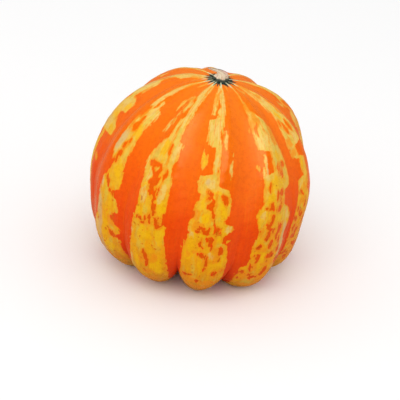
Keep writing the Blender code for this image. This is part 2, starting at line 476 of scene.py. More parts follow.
# Patches beside and inside those stripes. Each row is azimuth, polar angle, width, length and, if
# it has one, slant. Orange ones break the stripes up.
FRONT_FLECKS: dict[Pigment, tuple[tuple[float, ...], ...]] = {
    Pigment.YELLOW: (
        (-34.5, 24, 11, 4.4), (-38.8, 28.5, 3.4, 11, -0.1), (-31.4, 29, 5.4, 12),
        (-33.2, 37, 3, 10, -0.1), (-36, 43, 3, 12, -0.1), (9.8, 42.4, 3.2, 9.6, 0.14),
        (-2.6, 54.5, 4.2, 8.6), (-4.4, 50, 1.6, 3), (14.7, 57.5, 3.2, 10.5), (15, 49, 1.8, 1.6),
        (36.6, 56, 3.8, 10.5), (31.5, 57, 1.8, 3.8), (31.6, 36, 1.8, 4), (17.2, 96, 1.6, 1.6),
        (-83.5, 83.5, 7, 4), (-43.3, 107, 2, 2), (-23, 9, 12, 4), (-44, 12, 5, 8), (-72, 10, 6, 8),
        (20, 9, 5, 6), (53, 13, 4, 10), (-2, 42, 2, 3),
    ),
    Pigment.ORANGE: (
        # far left lobe
        (-88, 44.3, 3.6, 4), (-98, 30, 3, 8), (-95, 88, 3, 10), (-100, 60, 3, 8), (-96, 50, 2, 5),
        (-103, 74, 2.4, 6), (-99, 98, 3, 5), (-104, 110, 3, 4), (-94, 112, 2.6, 4), (-101, 86, 2, 4),
        (-92, 73, 2, 4), (-97, 121, 3, 3),
        # front left lobe
        (-58, 43.6, 3.2, 6.5), (-53.6, 48, 1.9, 4.4), (-54.8, 52.5, 3.4, 4.6), (-53.3, 63, 1.6, 8),
        (-53.6, 68, 3.2, 3.8), (-54.6, 71.5, 1.4, 3), (-55.3, 83, 1.4, 6, 0.12), (-48, 110, 5, 2.2, 0.3),
        (-55, 37, 0.7, 7), (-47.5, 101, 4, 4), (-51.5, 87.5, 4, 1.6),
        # lobe left of the middle
        (-29.8, 62.8, 6.4, 2.8), (-25.4, 69, 1.8, 11), (-25.8, 76.5, 4.2, 4), (-23.4, 55, 1.6, 8, 0.05),
        (-21.6, 67, 1.1, 7), (-23, 83.5, 2.2, 4.6), (-24.2, 79.5, 1.2, 3), (-23.8, 90, 1.1, 5),
        (-25.7, 90.5, 1.6, 2.6), (-19, 92.3, 3.2, 2.2), (-20.4, 90.4, 1, 2.6), (-16.2, 88.6, 1.8, 4),
        (-24.6, 113, 2, 8, 0.1), (-25.8, 109.6, 1.4, 3), (-22, 75, 0.8, 5), (-28.6, 66, 1.2, 4, 0.6),
        (-26.6, 73, 1.4, 5), (-30, 91.6, 2, 1.2), (-22, 86.5, 1.4, 3), (-27, 92.6, 2.4, 1.4),
        # middle lobe
        (0.6, 24.5, 1.4, 9), (6.4, 42, 0.9, 9, 0.16), (3.4, 71, 2.2, 4.6), (11.8, 72.4, 2.4, 4),
        (5.6, 76.8, 2.8, 3.6), (7.6, 82.5, 0.9, 9, 0.22), (3, 88.4, 1.2, 2.4),
        (5.8, 89.2, 1.4, 2.6, -0.3), (1.8, 91, 2.6, 1.4), (5.4, 91.4, 2, 1.6), (4, 90, 2, 1),
        (10.4, 89.6, 1, 4), (7.7, 95.5, 1, 5), (9.3, 99, 0.7, 5), (3.9, 97.6, 1.1, 4.4),
        (13.8, 101.2, 2.4, 3.4), (7.6, 108.5, 1.6, 7, 0.1), (5.6, 105.2, 5, 2.2), (-1.4, 117.2, 2, 1.6),
        (12.4, 116, 2.6, 1.6), (4.7, 121, 2.2, 2.2), (16, 114, 2, 1.6),
        # lobe right of the middle
        (37.8, 36.5, 1.2, 8), (38.1, 66.8, 1, 5), (43.5, 72.3, 1.2, 4.6), (48, 71.6, 4, 2.6),
        (46.8, 76, 1.1, 7, 0.1), (39.6, 77.6, 2, 3), (36.8, 78, 2.4, 1.2), (44.6, 80.2, 4.6, 4),
        (40, 87.5, 2.6, 10, -0.05), (39.4, 94, 1.6, 5), (47.4, 91, 5, 5, 0.2), (46, 95.5, 1.6, 5),
        (42.2, 92.6, 1, 3), (42.4, 100.4, 2.4, 4), (36, 107.6, 2.6, 2.8), (44.2, 106.6, 2.6, 3.4),
        (52.8, 57.7, 5.5, 3.8), (46, 58.4, 0.9, 6), (48, 59, 0.8, 6), (49.6, 62, 1.4, 1.6),
        (35.4, 100.8, 2.2, 2), (50, 104, 2.6, 3), (48.6, 99, 1.6, 4), (36.8, 109.6, 1.2, 2.6),
        (34, 113, 1.8, 1.4), (34.5, 118, 1.8, 1.4), (41.4, 116.6, 1.8, 4.6, -0.4), (36.2, 120.8, 4, 1.4),
        (29, 116.4, 2.8, 2.2), (30, 121.6, 3, 1.6),
        # right-hand lobe
        (67.8, 39, 1, 4), (70.7, 43, 1.2, 6), (74.5, 42, 2, 6), (64.6, 93.6, 2, 2), (66.8, 105, 5, 3),
        (64, 115.5, 2, 3), (71.5, 85, 1, 5), (69.6, 78.6, 1, 4), (72, 96, 2.4, 4), (76, 90, 2.4, 8),
        (78, 106, 3, 5), (66.2, 87.5, 2, 3.4), (64.6, 99, 1.4, 3.6), (68.8, 101, 1.6, 3),
        (70.5, 111, 3, 3), (66.8, 118.5, 3.4, 2.4), (73.5, 116, 3, 3), (68, 91, 1.2, 3),
        (51.4, 112, 2, 3),
    ),
    Pigment.CREAM: (
        (-92, 37, 6, 16), (-90, 51, 5, 7), (-89, 66, 6, 7), (-94, 18, 7, 5), (-58, 63.5, 4.6, 12),
        (-59, 35, 4, 9), (-50.4, 42, 3.4, 6), (-59.4, 92, 2.4, 22), (-58.6, 25.5, 5, 8), (-53, 37, 2, 7),
        (-62, 112, 6, 10), (-23.6, 30, 4.4, 24), (-20, 54, 2.6, 9), (-20.5, 76, 3.6, 9),
        (-30, 69, 4.4, 9), (-30.5, 79, 3, 8), (-35.4, 64, 1.6, 9), (-34, 98, 1.4, 14),
        (-33.4, 118, 2.4, 9), (-26.6, 18, 6, 8), (-36, 43, 2, 8), (6, 22, 4.6, 18), (4, 39, 5, 12),
        (-1.6, 36, 3.6, 7), (2.5, 65, 6, 5), (5.5, 55, 2.2, 9), (9.8, 42, 2.4, 8, 0.14),
        (-1.6, 82, 2.4, 5), (14.7, 57.5, 2.6, 9), (16.2, 89, 3.4, 4), (-2.6, 92, 2, 6),
        (9.8, 104.5, 2, 5), (-3, 24, 2.6, 8), (38, 44.4, 7, 6.5), (35.2, 37, 2.6, 7), (36.6, 56, 3, 9),
        (54, 86, 4, 8, 0.35), (52.4, 98, 3, 12), (49.6, 118, 4, 9), (35.4, 82.5, 3, 5), (37, 61, 2, 6),
        (70.5, 26, 6, 5), (68.6, 74, 1.8, 5), (74, 49, 3, 5),
    ),
    Pigment.GOLD: (
        (-84, 52, 5, 4), (-83, 66, 6, 4), (-88, 59, 5, 3), (-51, 54, 4, 9), (-50.5, 75, 4.5, 8),
        (-47.5, 94, 2.4, 5), (-52, 118, 7, 8), (-28.5, 54, 6, 9), (-30, 88, 3, 6), (-26, 99, 7, 10),
        (-18, 98, 5, 13), (-18.5, 84, 2.4, 8), (-26, 60, 2, 4), (-19, 117, 6, 8), (-29, 117, 3, 6),
        (-2.6, 54, 3.6, 7), (12.6, 78, 5, 8), (1.5, 75, 2.4, 6), (4.4, 94, 5, 4), (12, 95, 2, 4),
        (8, 69.5, 6, 2.4), (4, 83, 4, 4), (16, 108, 3, 8), (-2, 106, 4, 6), (45, 66, 17, 8),
        (48, 52.5, 8, 5), (38.6, 73.5, 5, 6), (36, 82, 4.5, 6), (45, 85.5, 6, 3), (43, 97, 2.4, 5),
        (40, 107, 3, 4), (34, 94, 1.6, 7), (71, 34, 4, 7), (72.5, 63.5, 2.4, 7), (66.5, 91, 3, 6),
        (65, 110, 5, 5),
    ),
    Pigment.AMBER: (
        (-84, 60, 6, 2.6), (-84, 12, 16, 5), (-88.5, 40, 3, 8), (-83.5, 83.5, 7, 4), (-58, 53.5, 2.2, 5),
        (-59.4, 49, 1.6, 6), (-57, 17, 8, 8), (-55, 37, 1.6, 8), (-61.4, 42, 1.2, 14), (-49.4, 104, 3, 4),
        (-53, 100, 1.4, 8), (-52.4, 62, 0.8, 14), (-24.6, 50, 1.8, 13), (-22.8, 62, 2, 10),
        (-24, 88, 2.6, 20), (-19.8, 112, 3.4, 5), (-24, 121.5, 7, 4), (-27.4, 115, 1.4, 3),
        (-20.8, 100, 1.2, 6), (-22, 73, 1.6, 8), (-25.6, 43, 1.4, 9), (-18.6, 14, 4, 10), (-34, 24, 9, 5),
        (-30, 37, 1.6, 8), (-44, 12, 6, 9), (-72, 10, 7, 9), (-27.6, 73, 1, 7), (-1.4, 18, 5, 16),
        (6.8, 42.5, 1.9, 12, 0.1), (7.5, 72, 1.6, 8), (6.8, 80, 2, 9, 0.15), (9.8, 91, 1.6, 10),
        (13.6, 94.6, 2, 3), (2, 103.4, 5, 2.6), (12.4, 106, 4.4, 5), (0, 121.5, 10, 5), (11, 122, 8, 4),
        (-4.6, 98, 1.4, 6), (9, 12, 3, 12), (1.4, 88, 6, 5), (12.8, 101.5, 4.4, 5), (20, 9, 6, 7),
        (36.4, 25, 5, 12), (37.4, 13, 7, 12), (43.2, 41, 1.7, 14), (50.6, 41, 9, 12),
        (46.8, 58.5, 3.2, 8), (42, 33.4, 6, 4), (45, 73, 1.2, 7), (48.8, 77.5, 1.6, 8),
        (40.5, 84, 1.2, 6), (36, 91.5, 2, 8), (42.4, 94.6, 2.4, 8), (38, 103, 7, 3), (45, 112, 10, 4),
        (36, 113, 5, 4), (32.6, 118.5, 6, 5), (42, 120.5, 9, 5), (50.4, 88.6, 3, 3), (52, 60.6, 5, 2),
        (68, 14, 13, 13), (71, 21, 12, 3), (77, 30, 2.6, 14), (68, 56, 3.4, 5), (72.2, 75, 1.8, 9),
        (65.8, 97, 4, 7), (72, 99, 5, 9), (68, 113, 3, 5), (53, 13, 5, 11), (69, 50, 5, 3),
        (69, 84, 4, 4), (65.6, 106, 6, 12), (70, 93, 6, 7), (70, 118, 9, 8), (75, 108, 5, 12),
        (47, 118, 9, 6), (50, 94, 4, 6), (5, 127, 20, 4), (-24, 128, 18, 4), (40, 127, 20, 4),
        (-56, 127, 20, 4), (-1, 82, 5, 6), (37, 32, 10, 11), (-2.4, 105, 3, 4),
    ),
    Pigment.BROWN: (
        (-57.5, 97.5, 0.7, 3, 0.35), (-51.5, 108.6, 3.4, 0.9), (-58, 118, 1, 1.4), (-56, 115.6, 0.9, 1.5),
        (-49.2, 121, 1.6, 1), (-58.6, 80, 0.8, 1), (-25, 120.5, 1.4, 1.4), (-30.6, 113, 1, 1),
        (-31.5, 81.3, 0.9, 1.6), (-31.5, 86.3, 1.1, 1.6), (-28.9, 91.9, 1.7, 1), (-31.6, 91.2, 1, 1.3),
        (-29, 108.2, 1.3, 1.4), (-31.5, 109, 1, 0.8), (-33.3, 88, 0.7, 1), (-32.6, 96, 0.8, 1.1),
        (-31, 103, 0.7, 0.8), (-26.5, 105, 0.6, 0.6), (-32.2, 93.4, 0.8, 1), (14.3, 106, 1.2, 2),
        (0.6, 115.4, 1.2, 1), (-1.2, 117.4, 1.3, 1.2), (4.6, 120.8, 1.4, 1.6), (12.4, 116.2, 1.8, 1.1),
        (2, 90.8, 1.8, 0.7), (8.6, 85, 0.6, 2.4, 0.2), (10.5, 90, 0.6, 2.4), (13.3, 102.4, 0.9, 1.5),
        (17.6, 112, 0.8, 1), (3.9, 98.6, 0.7, 1.6), (4.6, 87.6, 0.7, 1.4), (36, 100.4, 1.8, 1.4),
        (39.6, 95.5, 1.1, 1.6), (42, 102.2, 1.1, 1.8), (44.5, 108, 1.5, 1.4), (35.2, 117, 1.5, 1.3),
        (38.3, 116, 1, 1), (34.5, 103, 1, 1), (43.5, 99, 0.8, 1.5), (37.6, 106, 0.8, 0.8),
        (40, 118, 1, 1), (52, 57, 3, 0.8), (47.5, 103.5, 0.8, 1), (63.5, 99, 0.9, 1), (67.5, 101, 1, 1),
        (66, 116, 1, 1.4), (69.5, 108, 1, 1),
    ),
    # Pale streaks of painted reflection along the lobes' flanks and sides, not marks of the rind.
    Pigment.BLOOM: (
        (-58, 61, 4.4, 12, -0.05), (-61, 94, 4, 24), (-58.8, 104, 4.6, 24), (-57, 120, 5, 10),
        (-35, 100, 1.6, 24), (53.2, 104, 4.6, 30), (-93, 66, 3, 12), (-95, 38, 3, 14), (1.6, 64.5, 3, 3),
        (38, 57, 1.4, 7),
    ),
}


@dataclass(frozen=True)
class FleckHabit:
    """How flecks of one pigment grow: how many on a lobe, where and how large.

    Reach is the share of a lobe's half width at which they lie; the other spans are degrees.
    """

    count: int
    polars: Span
    reach: Span
    widths: Span
    lengths: Span


@dataclass(frozen=True)
class WildGrowth:
    """Stripes and flecks of the lobes that face away, grown by rule from a seed."""

    seed: int = 20
    lobes: range = range(4, 8)
    station_polars: tuple[float, ...] = (
        7, 14, 20, 25, 31, 33, 38, 44, 47, 53, 56, 62, 64, 69, 71, 76, 79, 83, 85, 89, 92, 97, 99, 105, 109,
        114, 124, 140, 168,
    )
    half_widths: tuple[Span, ...] = (
        (7, 4), (20, 4), (30, 5), (45, 6.5), (60, 8), (80, 9.5), (110, 12), (140, 11), (168, 4),
    )
    sway: float = 2.0
    upper_shake: float = 0.4
    lower_shake: float = 2.4
    shake_span: Span = (15, 60)
    habits: dict[Pigment, FleckHabit] = field(default_factory=lambda: {
        Pigment.YELLOW: FleckHabit(4, (20, 62), (0.48, 0.68), (1.8, 3.6), (3, 12)),
        Pigment.ORANGE: FleckHabit(22, (38, 122), (0.0, 0.45), (0.9, 3.4), (2, 8)),
        Pigment.CREAM: FleckHabit(11, (18, 122), (0.0, 0.5), (2, 5), (5, 12)),
        Pigment.GOLD: FleckHabit(8, (45, 125), (0.0, 0.45), (2.5, 7), (4, 9)),
        Pigment.AMBER: FleckHabit(16, (8, 125), (0.0, 0.55), (1.4, 4.5), (4, 12)),
        Pigment.BROWN: FleckHabit(11, (78, 125), (0.0, 0.6), (0.7, 1.6), (0.8, 1.8)),
        # Pale streaks of painted reflection on the flanks of the lobes that face away.
        Pigment.BLOOM: FleckHabit(3, (45, 118), (0.3, 0.6), (1.4, 3.2), (7, 15)),
    })

    def stripes(self, draw: np.random.Generator) -> list[Stripe]:
        """One ragged stripe down the crest of each lobe.

        Args:
            draw: where the random numbers come from.

        Returns:
            The stripes.
        """
        grown = []
        polars, halves = zip(*self.half_widths)
        for number in self.lobes:
            start, end = self.edges(number)
            middle = (start + end) / 2 + draw.uniform(-self.sway, self.sway)
            rows = []
            for polar in self.station_polars:
                half = np.interp(polar, polars, halves)
                shake = self.lower_shake * smooth_step(*self.shake_span, polar) + self.upper_shake
                sides = (middle - half, middle + half)
                rows.append((polar, *(side + draw.uniform(-shake, shake) for side in sides)))
            grown.append(Stripe(tuple(rows)))
        return grown

    def flecks(self, draw: np.random.Generator, pigment: Pigment) -> list[Fleck]:
        """Flecks of one pigment on every lobe that faces away.

        Args:
            draw: where the random numbers come from.
            pigment: whose habit they grow by.

        Returns:
            The flecks.
        """
        habit = self.habits[pigment]
        grown = []
        for number in self.lobes:
            start, end = self.edges(number)
            middle, half = (start + end) / 2, (end - start) / 2
            for _ in range(habit.count):
                aside = draw.choice((-1, 1)) * draw.uniform(*habit.reach) * half
                place = (middle + aside, draw.uniform(*habit.polars))
                grown.append(Fleck(*place, draw.uniform(*habit.widths), draw.uniform(*habit.lengths)))
        return grown

    @staticmethod
    def edges(number: int) -> Span:
        """The azimuths between which a lobe lies."""
        starts = [lobe.start for lobe in LOBES] + [LOBES[0].start + 360]
        return starts[number], starts[number + 1]


@dataclass(frozen=True)
class StemStar:
    """The dark green star round the stem, whose points run out along the growth lines.

    Crowding moves its points together and apart, by shares of the gap between two. Their mean
    length and its unevenness are shares of the way from the inner to the outer radius.
    """

    points: int = 23
    crowding: Bumps = Bumps(0.9, scale=2.1, seed=3)
    sharpness: float = 1.4
    mean_length: float = 0.85
    unevenness: Bumps = Bumps(0.3, scale=5.0, seed=8)
    inner_mm: float = 6.8
    outer_mm: float = 9.9
    rays_start_mm: Span = (3.6, 5.0)
    rays_end_mm: Span = (8.5, 13)
    pale_rays: tuple[Span, ...] = (
        (3.5, 3.6), (37.5, 3.4), (66.0, 2.4), (-25.0, 3.4), (-38.0, 2.6), (-57.0, 3.2), (-76.0, 3.2),
        (-98.0, 2.8), (112.0, 3.4), (150.0, 3.6), (187.0, 3.2), (224.0, 3.4),
    )

    def inside(self, azimuth: Array, from_stem: Array) -> Array:
        """Distance inside the star's edge.

        Args:
            azimuth: azimuths of the places.
            from_stem: their distances from the stem, in millimetres.

        Returns:
            Millimetres, negative outside.
        """
        ring = on_ring(np.radians(azimuth), np.zeros_like(azimuth))
        phase = azimuth / 360 * self.points + self.crowding.over(ring)
        point = (1 - 2 * np.abs(phase % 1.0 - 0.5)) ** self.sharpness
        length = self.mean_length + self.unevenness.over(ring)
        return self.inner_mm + (self.outer_mm - self.inner_mm) * point * length - from_stem

    def rays(self, azimuth: Array, from_stem: Array) -> Array:
        """How much of a pale ray, 0 to 1, lies at each azimuth and distance from the stem."""
        shown = [swell(wrapped(azimuth - middle), 0, width) for middle, width in self.pale_rays]
        return np.max(shown, axis=0) * band(self.rays_start_mm, self.rays_end_mm, from_stem)


@dataclass(frozen=True)
class RindMarkings:
    """Everything that is drawn on the rind by growth, and pale streaks of painted reflection, as smooth
    fields over its surface.

    Wander is how many degrees the flecks' outlines stray. The pole limit keeps what grows as the
    squash narrows towards its poles from growing without end.
    """

    wander_aside: Bumps = Bumps(0.9, scale=14.0, seed=31)
    wander_down: Bumps = Bumps(0.9, scale=14.0, seed=32)
    pole_limit: float = 0.2
    wild: WildGrowth = field(default_factory=WildGrowth)
    star: StemStar = field(default_factory=StemStar)

    def distances(self, azimuth: Array, polar: Array) -> dict[Pigment, Array]:
        """How far each place lies inside each pigment in millimetres, negative outside.

        The yellow field has the orange flecks taken out of it. Its distance is stretched near
        the poles, where the stripes are thin.

        Args:
            azimuth, polar: the places, in degrees.

        Returns:
            One field for each pigment but orange.
        """
        draw = np.random.default_rng(self.wild.seed)
        stripes = list(FRONT_STRIPES) + self.wild.stripes(draw)
        fields = {pigment: self.patches(pigment, draw, azimuth, polar) for pigment in Pigment}
        striped = np.max([stripe.inside(azimuth, polar) for stripe in stripes], axis=0)
        breaks = fields.pop(Pigment.ORANGE) + BREAK_GROWTH_MM
        fields[Pigment.AMBER] = np.maximum(fields[Pigment.AMBER], breaks + AMBER_RIM_MM)
        yellow = np.maximum(np.minimum(striped, -breaks), fields[Pigment.YELLOW])
        narrowing = self.pole_limit + (1 - self.pole_limit) * np.sin(np.radians(polar))
        fields[Pigment.YELLOW] = yellow / narrowing
        return {pigment: np.clip(values, -FIELD_MM, FIELD_MM) for pigment, values in fields.items()}

    def patches(
        self, pigment: Pigment, draw: np.random.Generator, azimuth: Array, polar: Array
    ) -> Array:
        """Distance inside the nearest fleck of one pigment.

        Args:
            pigment: which flecks to take.
            draw: where the random numbers of the wild ones come from.
            azimuth, polar: the places, in degrees.

        Returns:
            Millimetres, negative outside.
        """
        around, along = np.radians(azimuth), np.radians(polar)
        skin = np.stack([np.sin(around) * np.sin(along), np.cos(around) * np.sin(along), np.cos(along)], -1)
        down = self.wander_down.over(skin)
        aside = self.wander_aside.over(skin) / np.maximum(np.sin(along), self.pole_limit)
        distance = np.full_like(azimuth, -FIELD_MM)
        for fleck in [Fleck(*row) for row in FRONT_FLECKS[pigment]] + self.wild.flecks(draw, pigment):
            fleck.add_to(distance, azimuth + aside, polar + down)
        return distance


# ------------------------------------------------------------------ shader building blocks


class Nodes:
    """Adds nodes to one node tree and joins them."""

    def __init__(self, tree: bpy.types.NodeTree) -> None:
        """Starts with a tree that may hold nodes already."""
        self.tree = tree

    def add(self, kind: str, sources: Sources, **settings: object) -> bpy.types.Node:
        """Adds a node.

        Args:
            kind: the node's type name.
            sources: what its inputs get.
            settings: its properties by name.

        Returns:
            The node.
        """
        node = self.tree.nodes.new(kind)
        for name, value in settings.items():
            setattr(node, name, value)
        self.feed(node.inputs, sources)
        return node

    def feed(self, inputs: bpy.types.NodeInputs, sources: Sources) -> None:
        """Joins inputs to other nodes, or sets them to constants.

        Args:
            inputs: a node's inputs.
            sources: by name or index, an output, a number or a colour.
        """
        for key, source in sources.items():
            if isinstance(source, Socket):
                self.tree.links.new(source, inputs[key])
            else:
                inputs[key].default_value = source

    def math(self, operation: str, *inputs: Source) -> Socket:
        """A Math node on sockets or numbers, in the order of its inputs."""
        return self.add("ShaderNodeMath", dict(enumerate(inputs)), operation=operation).outputs[0]

    def times(self, first: Source, second: Source) -> Socket:
        """The product of two values."""
        return self.math("MULTIPLY", first, second)

    def times_plus(self, first: Source, second: Source, added: Source) -> Socket:
        """The product of two values with a third added."""
        return self.math("MULTIPLY_ADD", first, second, added)

    def minus(self, first: Source, second: Source) -> Socket:
        """The first value without the second."""
        return self.math("SUBTRACT", first, second)

    def fade(self, value: Socket, start: Source, end: Source, low: float = 0, high: float = 1) -> Socket:
        """Goes smoothly from low at the start to high at the end, of which either may be the larger."""
        ends = {"Value": value, "From Min": start, "From Max": end, "To Min": low, "To Max": high}
        return self.add("ShaderNodeMapRange", ends, interpolation_type="SMOOTHSTEP").outputs["Result"]

    def mix(self, share: Source, low: Source, high: Source, blend: str = "MIX") -> Socket:
        """Mixes a share of the second colour into the first, by a blend type of the Mix node."""
        sources = {0: share, 6: low, 7: high}
        return self.add("ShaderNodeMix", sources, data_type="RGBA", blend_type=blend).outputs[2]

    def ramp(self, value: Socket, stops: Stops) -> Socket:
        """A colour ramp with smooth steps between its stops.

        Args:
            value: where on the ramp, 0 to 1.
            stops: place and colour of each stop, in order.

        Returns:
            The colour's socket.
        """
        node = self.add("ShaderNodeValToRGB", {"Fac": value})
        node.color_ramp.interpolation = "EASE"
        elements = node.color_ramp.elements
        while len(elements) < len(stops):
            elements.new(0.5)
        for element, (place, colour) in zip(elements, stops):
            element.position = place
            element.color = colour
        return node.outputs["Color"]

    def split(self, vector: Socket) -> list[Socket]:
        """The three parts of a vector."""
        return list(self.add("ShaderNodeSeparateXYZ", {0: vector}).outputs)

    def noise(self, place: Socket, scale: Source, detail: Source, seed: Source | None = None) -> Socket:
        """Noise about 0.5.

        Args:
            place: where it is read.
            scale, detail: bumps per unit of length, and how many finer layers are added.
            seed: picks one of many patterns, if given.

        Returns:
            The value's socket.
        """
        sources = {"Vector": place, "Scale": scale, "Detail": detail}
        if seed is None:
            return self.add("ShaderNodeTexNoise", sources).outputs[0]
        return self.add("ShaderNodeTexNoise", sources | {"W": seed}, noise_dimensions="4D").outputs[0]

    def bump(self, height: Socket, strength: float, depth: float) -> Socket:
        """A surface direction that follows a height, of which 1 measures the depth in metres."""
        sources = {"Height": height, "Strength": strength, "Distance": depth}
        return self.add("ShaderNodeBump", sources).outputs["Normal"]

    def attribute(self, name: str, output: str = "Fac") -> Socket:
        """Reads a field that is stored on the mesh."""
        return self.add("ShaderNodeAttribute", {}, attribute_name=name).outputs[output]


class EffectGroup(Nodes):
    """A node group with named inputs and outputs, to be filled with nodes."""

    def __init__(self, name: str, vectors: Names, numbers: Names, results: Names) -> None:
        """Makes an empty group.

        Args:
            name: the group's name.
            vectors, numbers: the names of its vector and its number inputs.
            results: the names of its outputs.
        """
        super().__init__(bpy.data.node_groups.new(name, "ShaderNodeTree"))
        for names, in_out, kind in (
            (vectors, "INPUT", "NodeSocketVector"),
            (numbers, "INPUT", "NodeSocketFloat"),
            (results, "OUTPUT", "NodeSocketFloat"),
        ):
            for socket in names:
                self.tree.interface.new_socket(name=socket, in_out=in_out, socket_type=kind)
        self.given = self.add("NodeGroupInput", {}).outputs
        self.wanted = self.add("NodeGroupOutput", {}).inputs

    def closed(self, results: Sources) -> bpy.types.NodeTree:
        """Joins the results to the group's outputs."""
        self.feed(self.wanted, results)
        return self.tree


class SharedEffects:
    """Node groups that the rind's patterns and the stem share, each built once."""

    def __init__(self) -> None:
        """Builds every group."""
        self.growth_grain = self.build_growth_grain()
        self.ragged_edge = self.build_ragged_edge()
        self.freckles = self.build_freckles()
        self.mottle = self.build_mottle()

    @staticmethod
    def build_growth_grain() -> bpy.types.NodeTree:
        """Noise that is stretched along the lines of growth and closes up at the poles.

        Returns:
            The group.
        """
        group = EffectGroup("growth_grain", ("Growth",), ("Around", "Along", "Seed", "Detail"), ("Grain",))
        given = group.given
        east, south, down = group.split(given["Growth"])
        place = group.add("ShaderNodeCombineXYZ", {
            "X": group.times(east, given["Around"]),
            "Y": group.times(south, given["Around"]),
            "Z": group.times(down, given["Along"]),
        }).outputs[0]
        return group.closed({"Grain": group.noise(place, 1.0, given["Detail"], given["Seed"])})

    @staticmethod
    def build_ragged_edge() -> bpy.types.NodeTree:
        """Turns a distance in millimetres into a patch with a ragged edge.

        Returns:
            The group.
        """
        grains = ("Streaks", "Crumbs", "Strands")
        reaches = tuple(f"{grain} Reach" for grain in grains)
        numbers = ("Distance", "Softness", *grains, *reaches)
        group = EffectGroup("ragged_edge", (), numbers, ("Patch", "Depth"))
        given = group.given
        moved = given["Distance"]
        for grain, reach in zip(grains, reaches):
            moved = group.times_plus(group.minus(given[grain], 0.5), given[reach], moved)
        edge = group.fade(moved, group.times(given["Softness"], -1.0), given["Softness"])
        return group.closed({"Patch": edge, "Depth": moved})

    @staticmethod
    def build_freckles() -> bpy.types.NodeTree:
        """Small round spots of unequal size, in some of the cells of a grid.

        Returns:
            The group.
        """
        group = EffectGroup("freckles", ("Place",), ("Scale", "Size", "Share"), ("Spots",))
        given = group.given
        cells = group.add("ShaderNodeTexVoronoi", {"Vector": given["Place"], "Scale": given["Scale"]})
        lots = group.add("ShaderNodeSeparateColor", {0: cells.outputs["Color"]}).outputs
        chosen = group.math("LESS_THAN", lots[0], given["Share"])
        size = group.times(given["Size"], group.times_plus(lots[1], 0.6, 0.6))
        near = group.minus(1.0, group.math("DIVIDE", cells.outputs["Distance"], size))
        return group.closed({"Spots": group.times(group.fade(near, 0.0, 0.35), chosen)})

    @staticmethod
    def build_mottle() -> bpy.types.NodeTree:
        """Slow drifts and fine stipple, as one value about 0.5.

        Returns:
            The group.
        """
        group = EffectGroup("mottle", ("Place",), ("Coarse Scale", "Fine Scale", "Fine Share"), ("Tone",))
        given = group.given
        drifts = group.noise(given["Place"], given["Coarse Scale"], 3.0)
        stipple = group.minus(group.noise(given["Place"], given["Fine Scale"], 2.0), 0.5)
        return group.closed({"Tone": group.times_plus(stipple, given["Fine Share"], drifts)})


# ------------------------------------------------------------------ finishes


@dataclass(frozen=True)
class Grain:
    """A pattern along the lines of growth: how fine it is around and along, its seed and detail."""

    around: float
    along: float
    seed: float
    detail: float = 2.0


@dataclass(frozen=True)
class Mottle:
    """Drifts and stipple: bumps per metre of each, and how much the stipple counts."""

    coarse: float
    fine: float
    share: float


@dataclass(frozen=True)
class Freckles:
    """Spots: cells per metre, a spot's share of its cell, and the share of cells that have one."""

    scale: float
    size: float
    share: float


@dataclass(frozen=True)
class Edge:
    """The edge of a patch: half its blur in millimetres, and how far the grains fray it."""

    softness: float
    ragged: float = 1.0


@dataclass(frozen=True)
class Tint:
    """A colour that hides a share of what lies under it.

    It shows where a mask does, or with a span, between those values of a pattern.
    """

    colour: Colour
    share: float = 1.0
    span: Span | None = None


class GrownSkin(Nodes):
    """The nodes of one material that grew, with its shader and the shared effects at hand."""

    def __init__(self, name: str, effects: SharedEffects) -> None:
        """Makes the material.

        Args:
            name: the material's name.
            effects: the shared node groups.
        """
        self.material = bpy.data.materials.new(name)
        self.material.use_nodes = True
        super().__init__(self.material.node_tree)
        self.shader = self.tree.nodes["Principled BSDF"]
        self.effects = effects
        self.growth = self.attribute("growth", "Vector")
        self.along = self.split(self.growth)[2]
        self.place = self.add("ShaderNodeTexCoord", {}).outputs["Object"]

    def effect(self, group: bpy.types.NodeTree, output: str, inputs: Sources) -> Socket:
        """Places a shared effect in the material and takes one of its outputs."""
        return self.add("ShaderNodeGroup", inputs, node_tree=group).outputs[output]

    def grain(self, grain: Grain) -> Socket:
        """A pattern along the lines of growth, about 0.5."""
        sizes = {"Around": grain.around, "Along": grain.along, "Seed": grain.seed, "Detail": grain.detail}
        return self.effect(self.effects.growth_grain, "Grain", {"Growth": self.growth, **sizes})

    def mottle(self, mottle: Mottle) -> Socket:
        """Drifts and stipple over the surface, about 0.5."""
        sizes = {"Coarse Scale": mottle.coarse, "Fine Scale": mottle.fine, "Fine Share": mottle.share}
        return self.effect(self.effects.mottle, "Tone", {"Place": self.place, **sizes})

    def freckles(self, freckles: Freckles) -> Socket:
        """A mask of round spots."""
        sizes = {"Scale": freckles.scale, "Size": freckles.size, "Share": freckles.share}
        return self.effect(self.effects.freckles, "Spots", {"Place": self.place, **sizes})

    def tinted(self, under: Source, pattern: Socket, tint: Tint, within: Source = 1.0) -> Socket:
        """Lays a tint over a colour, by a mask or by a pattern that the tint's span is about."""
        shown = pattern if tint.span is None else self.fade(pattern, *tint.span)
        return self.mix(self.times(self.times(shown, within), tint.share), under, tint.colour)


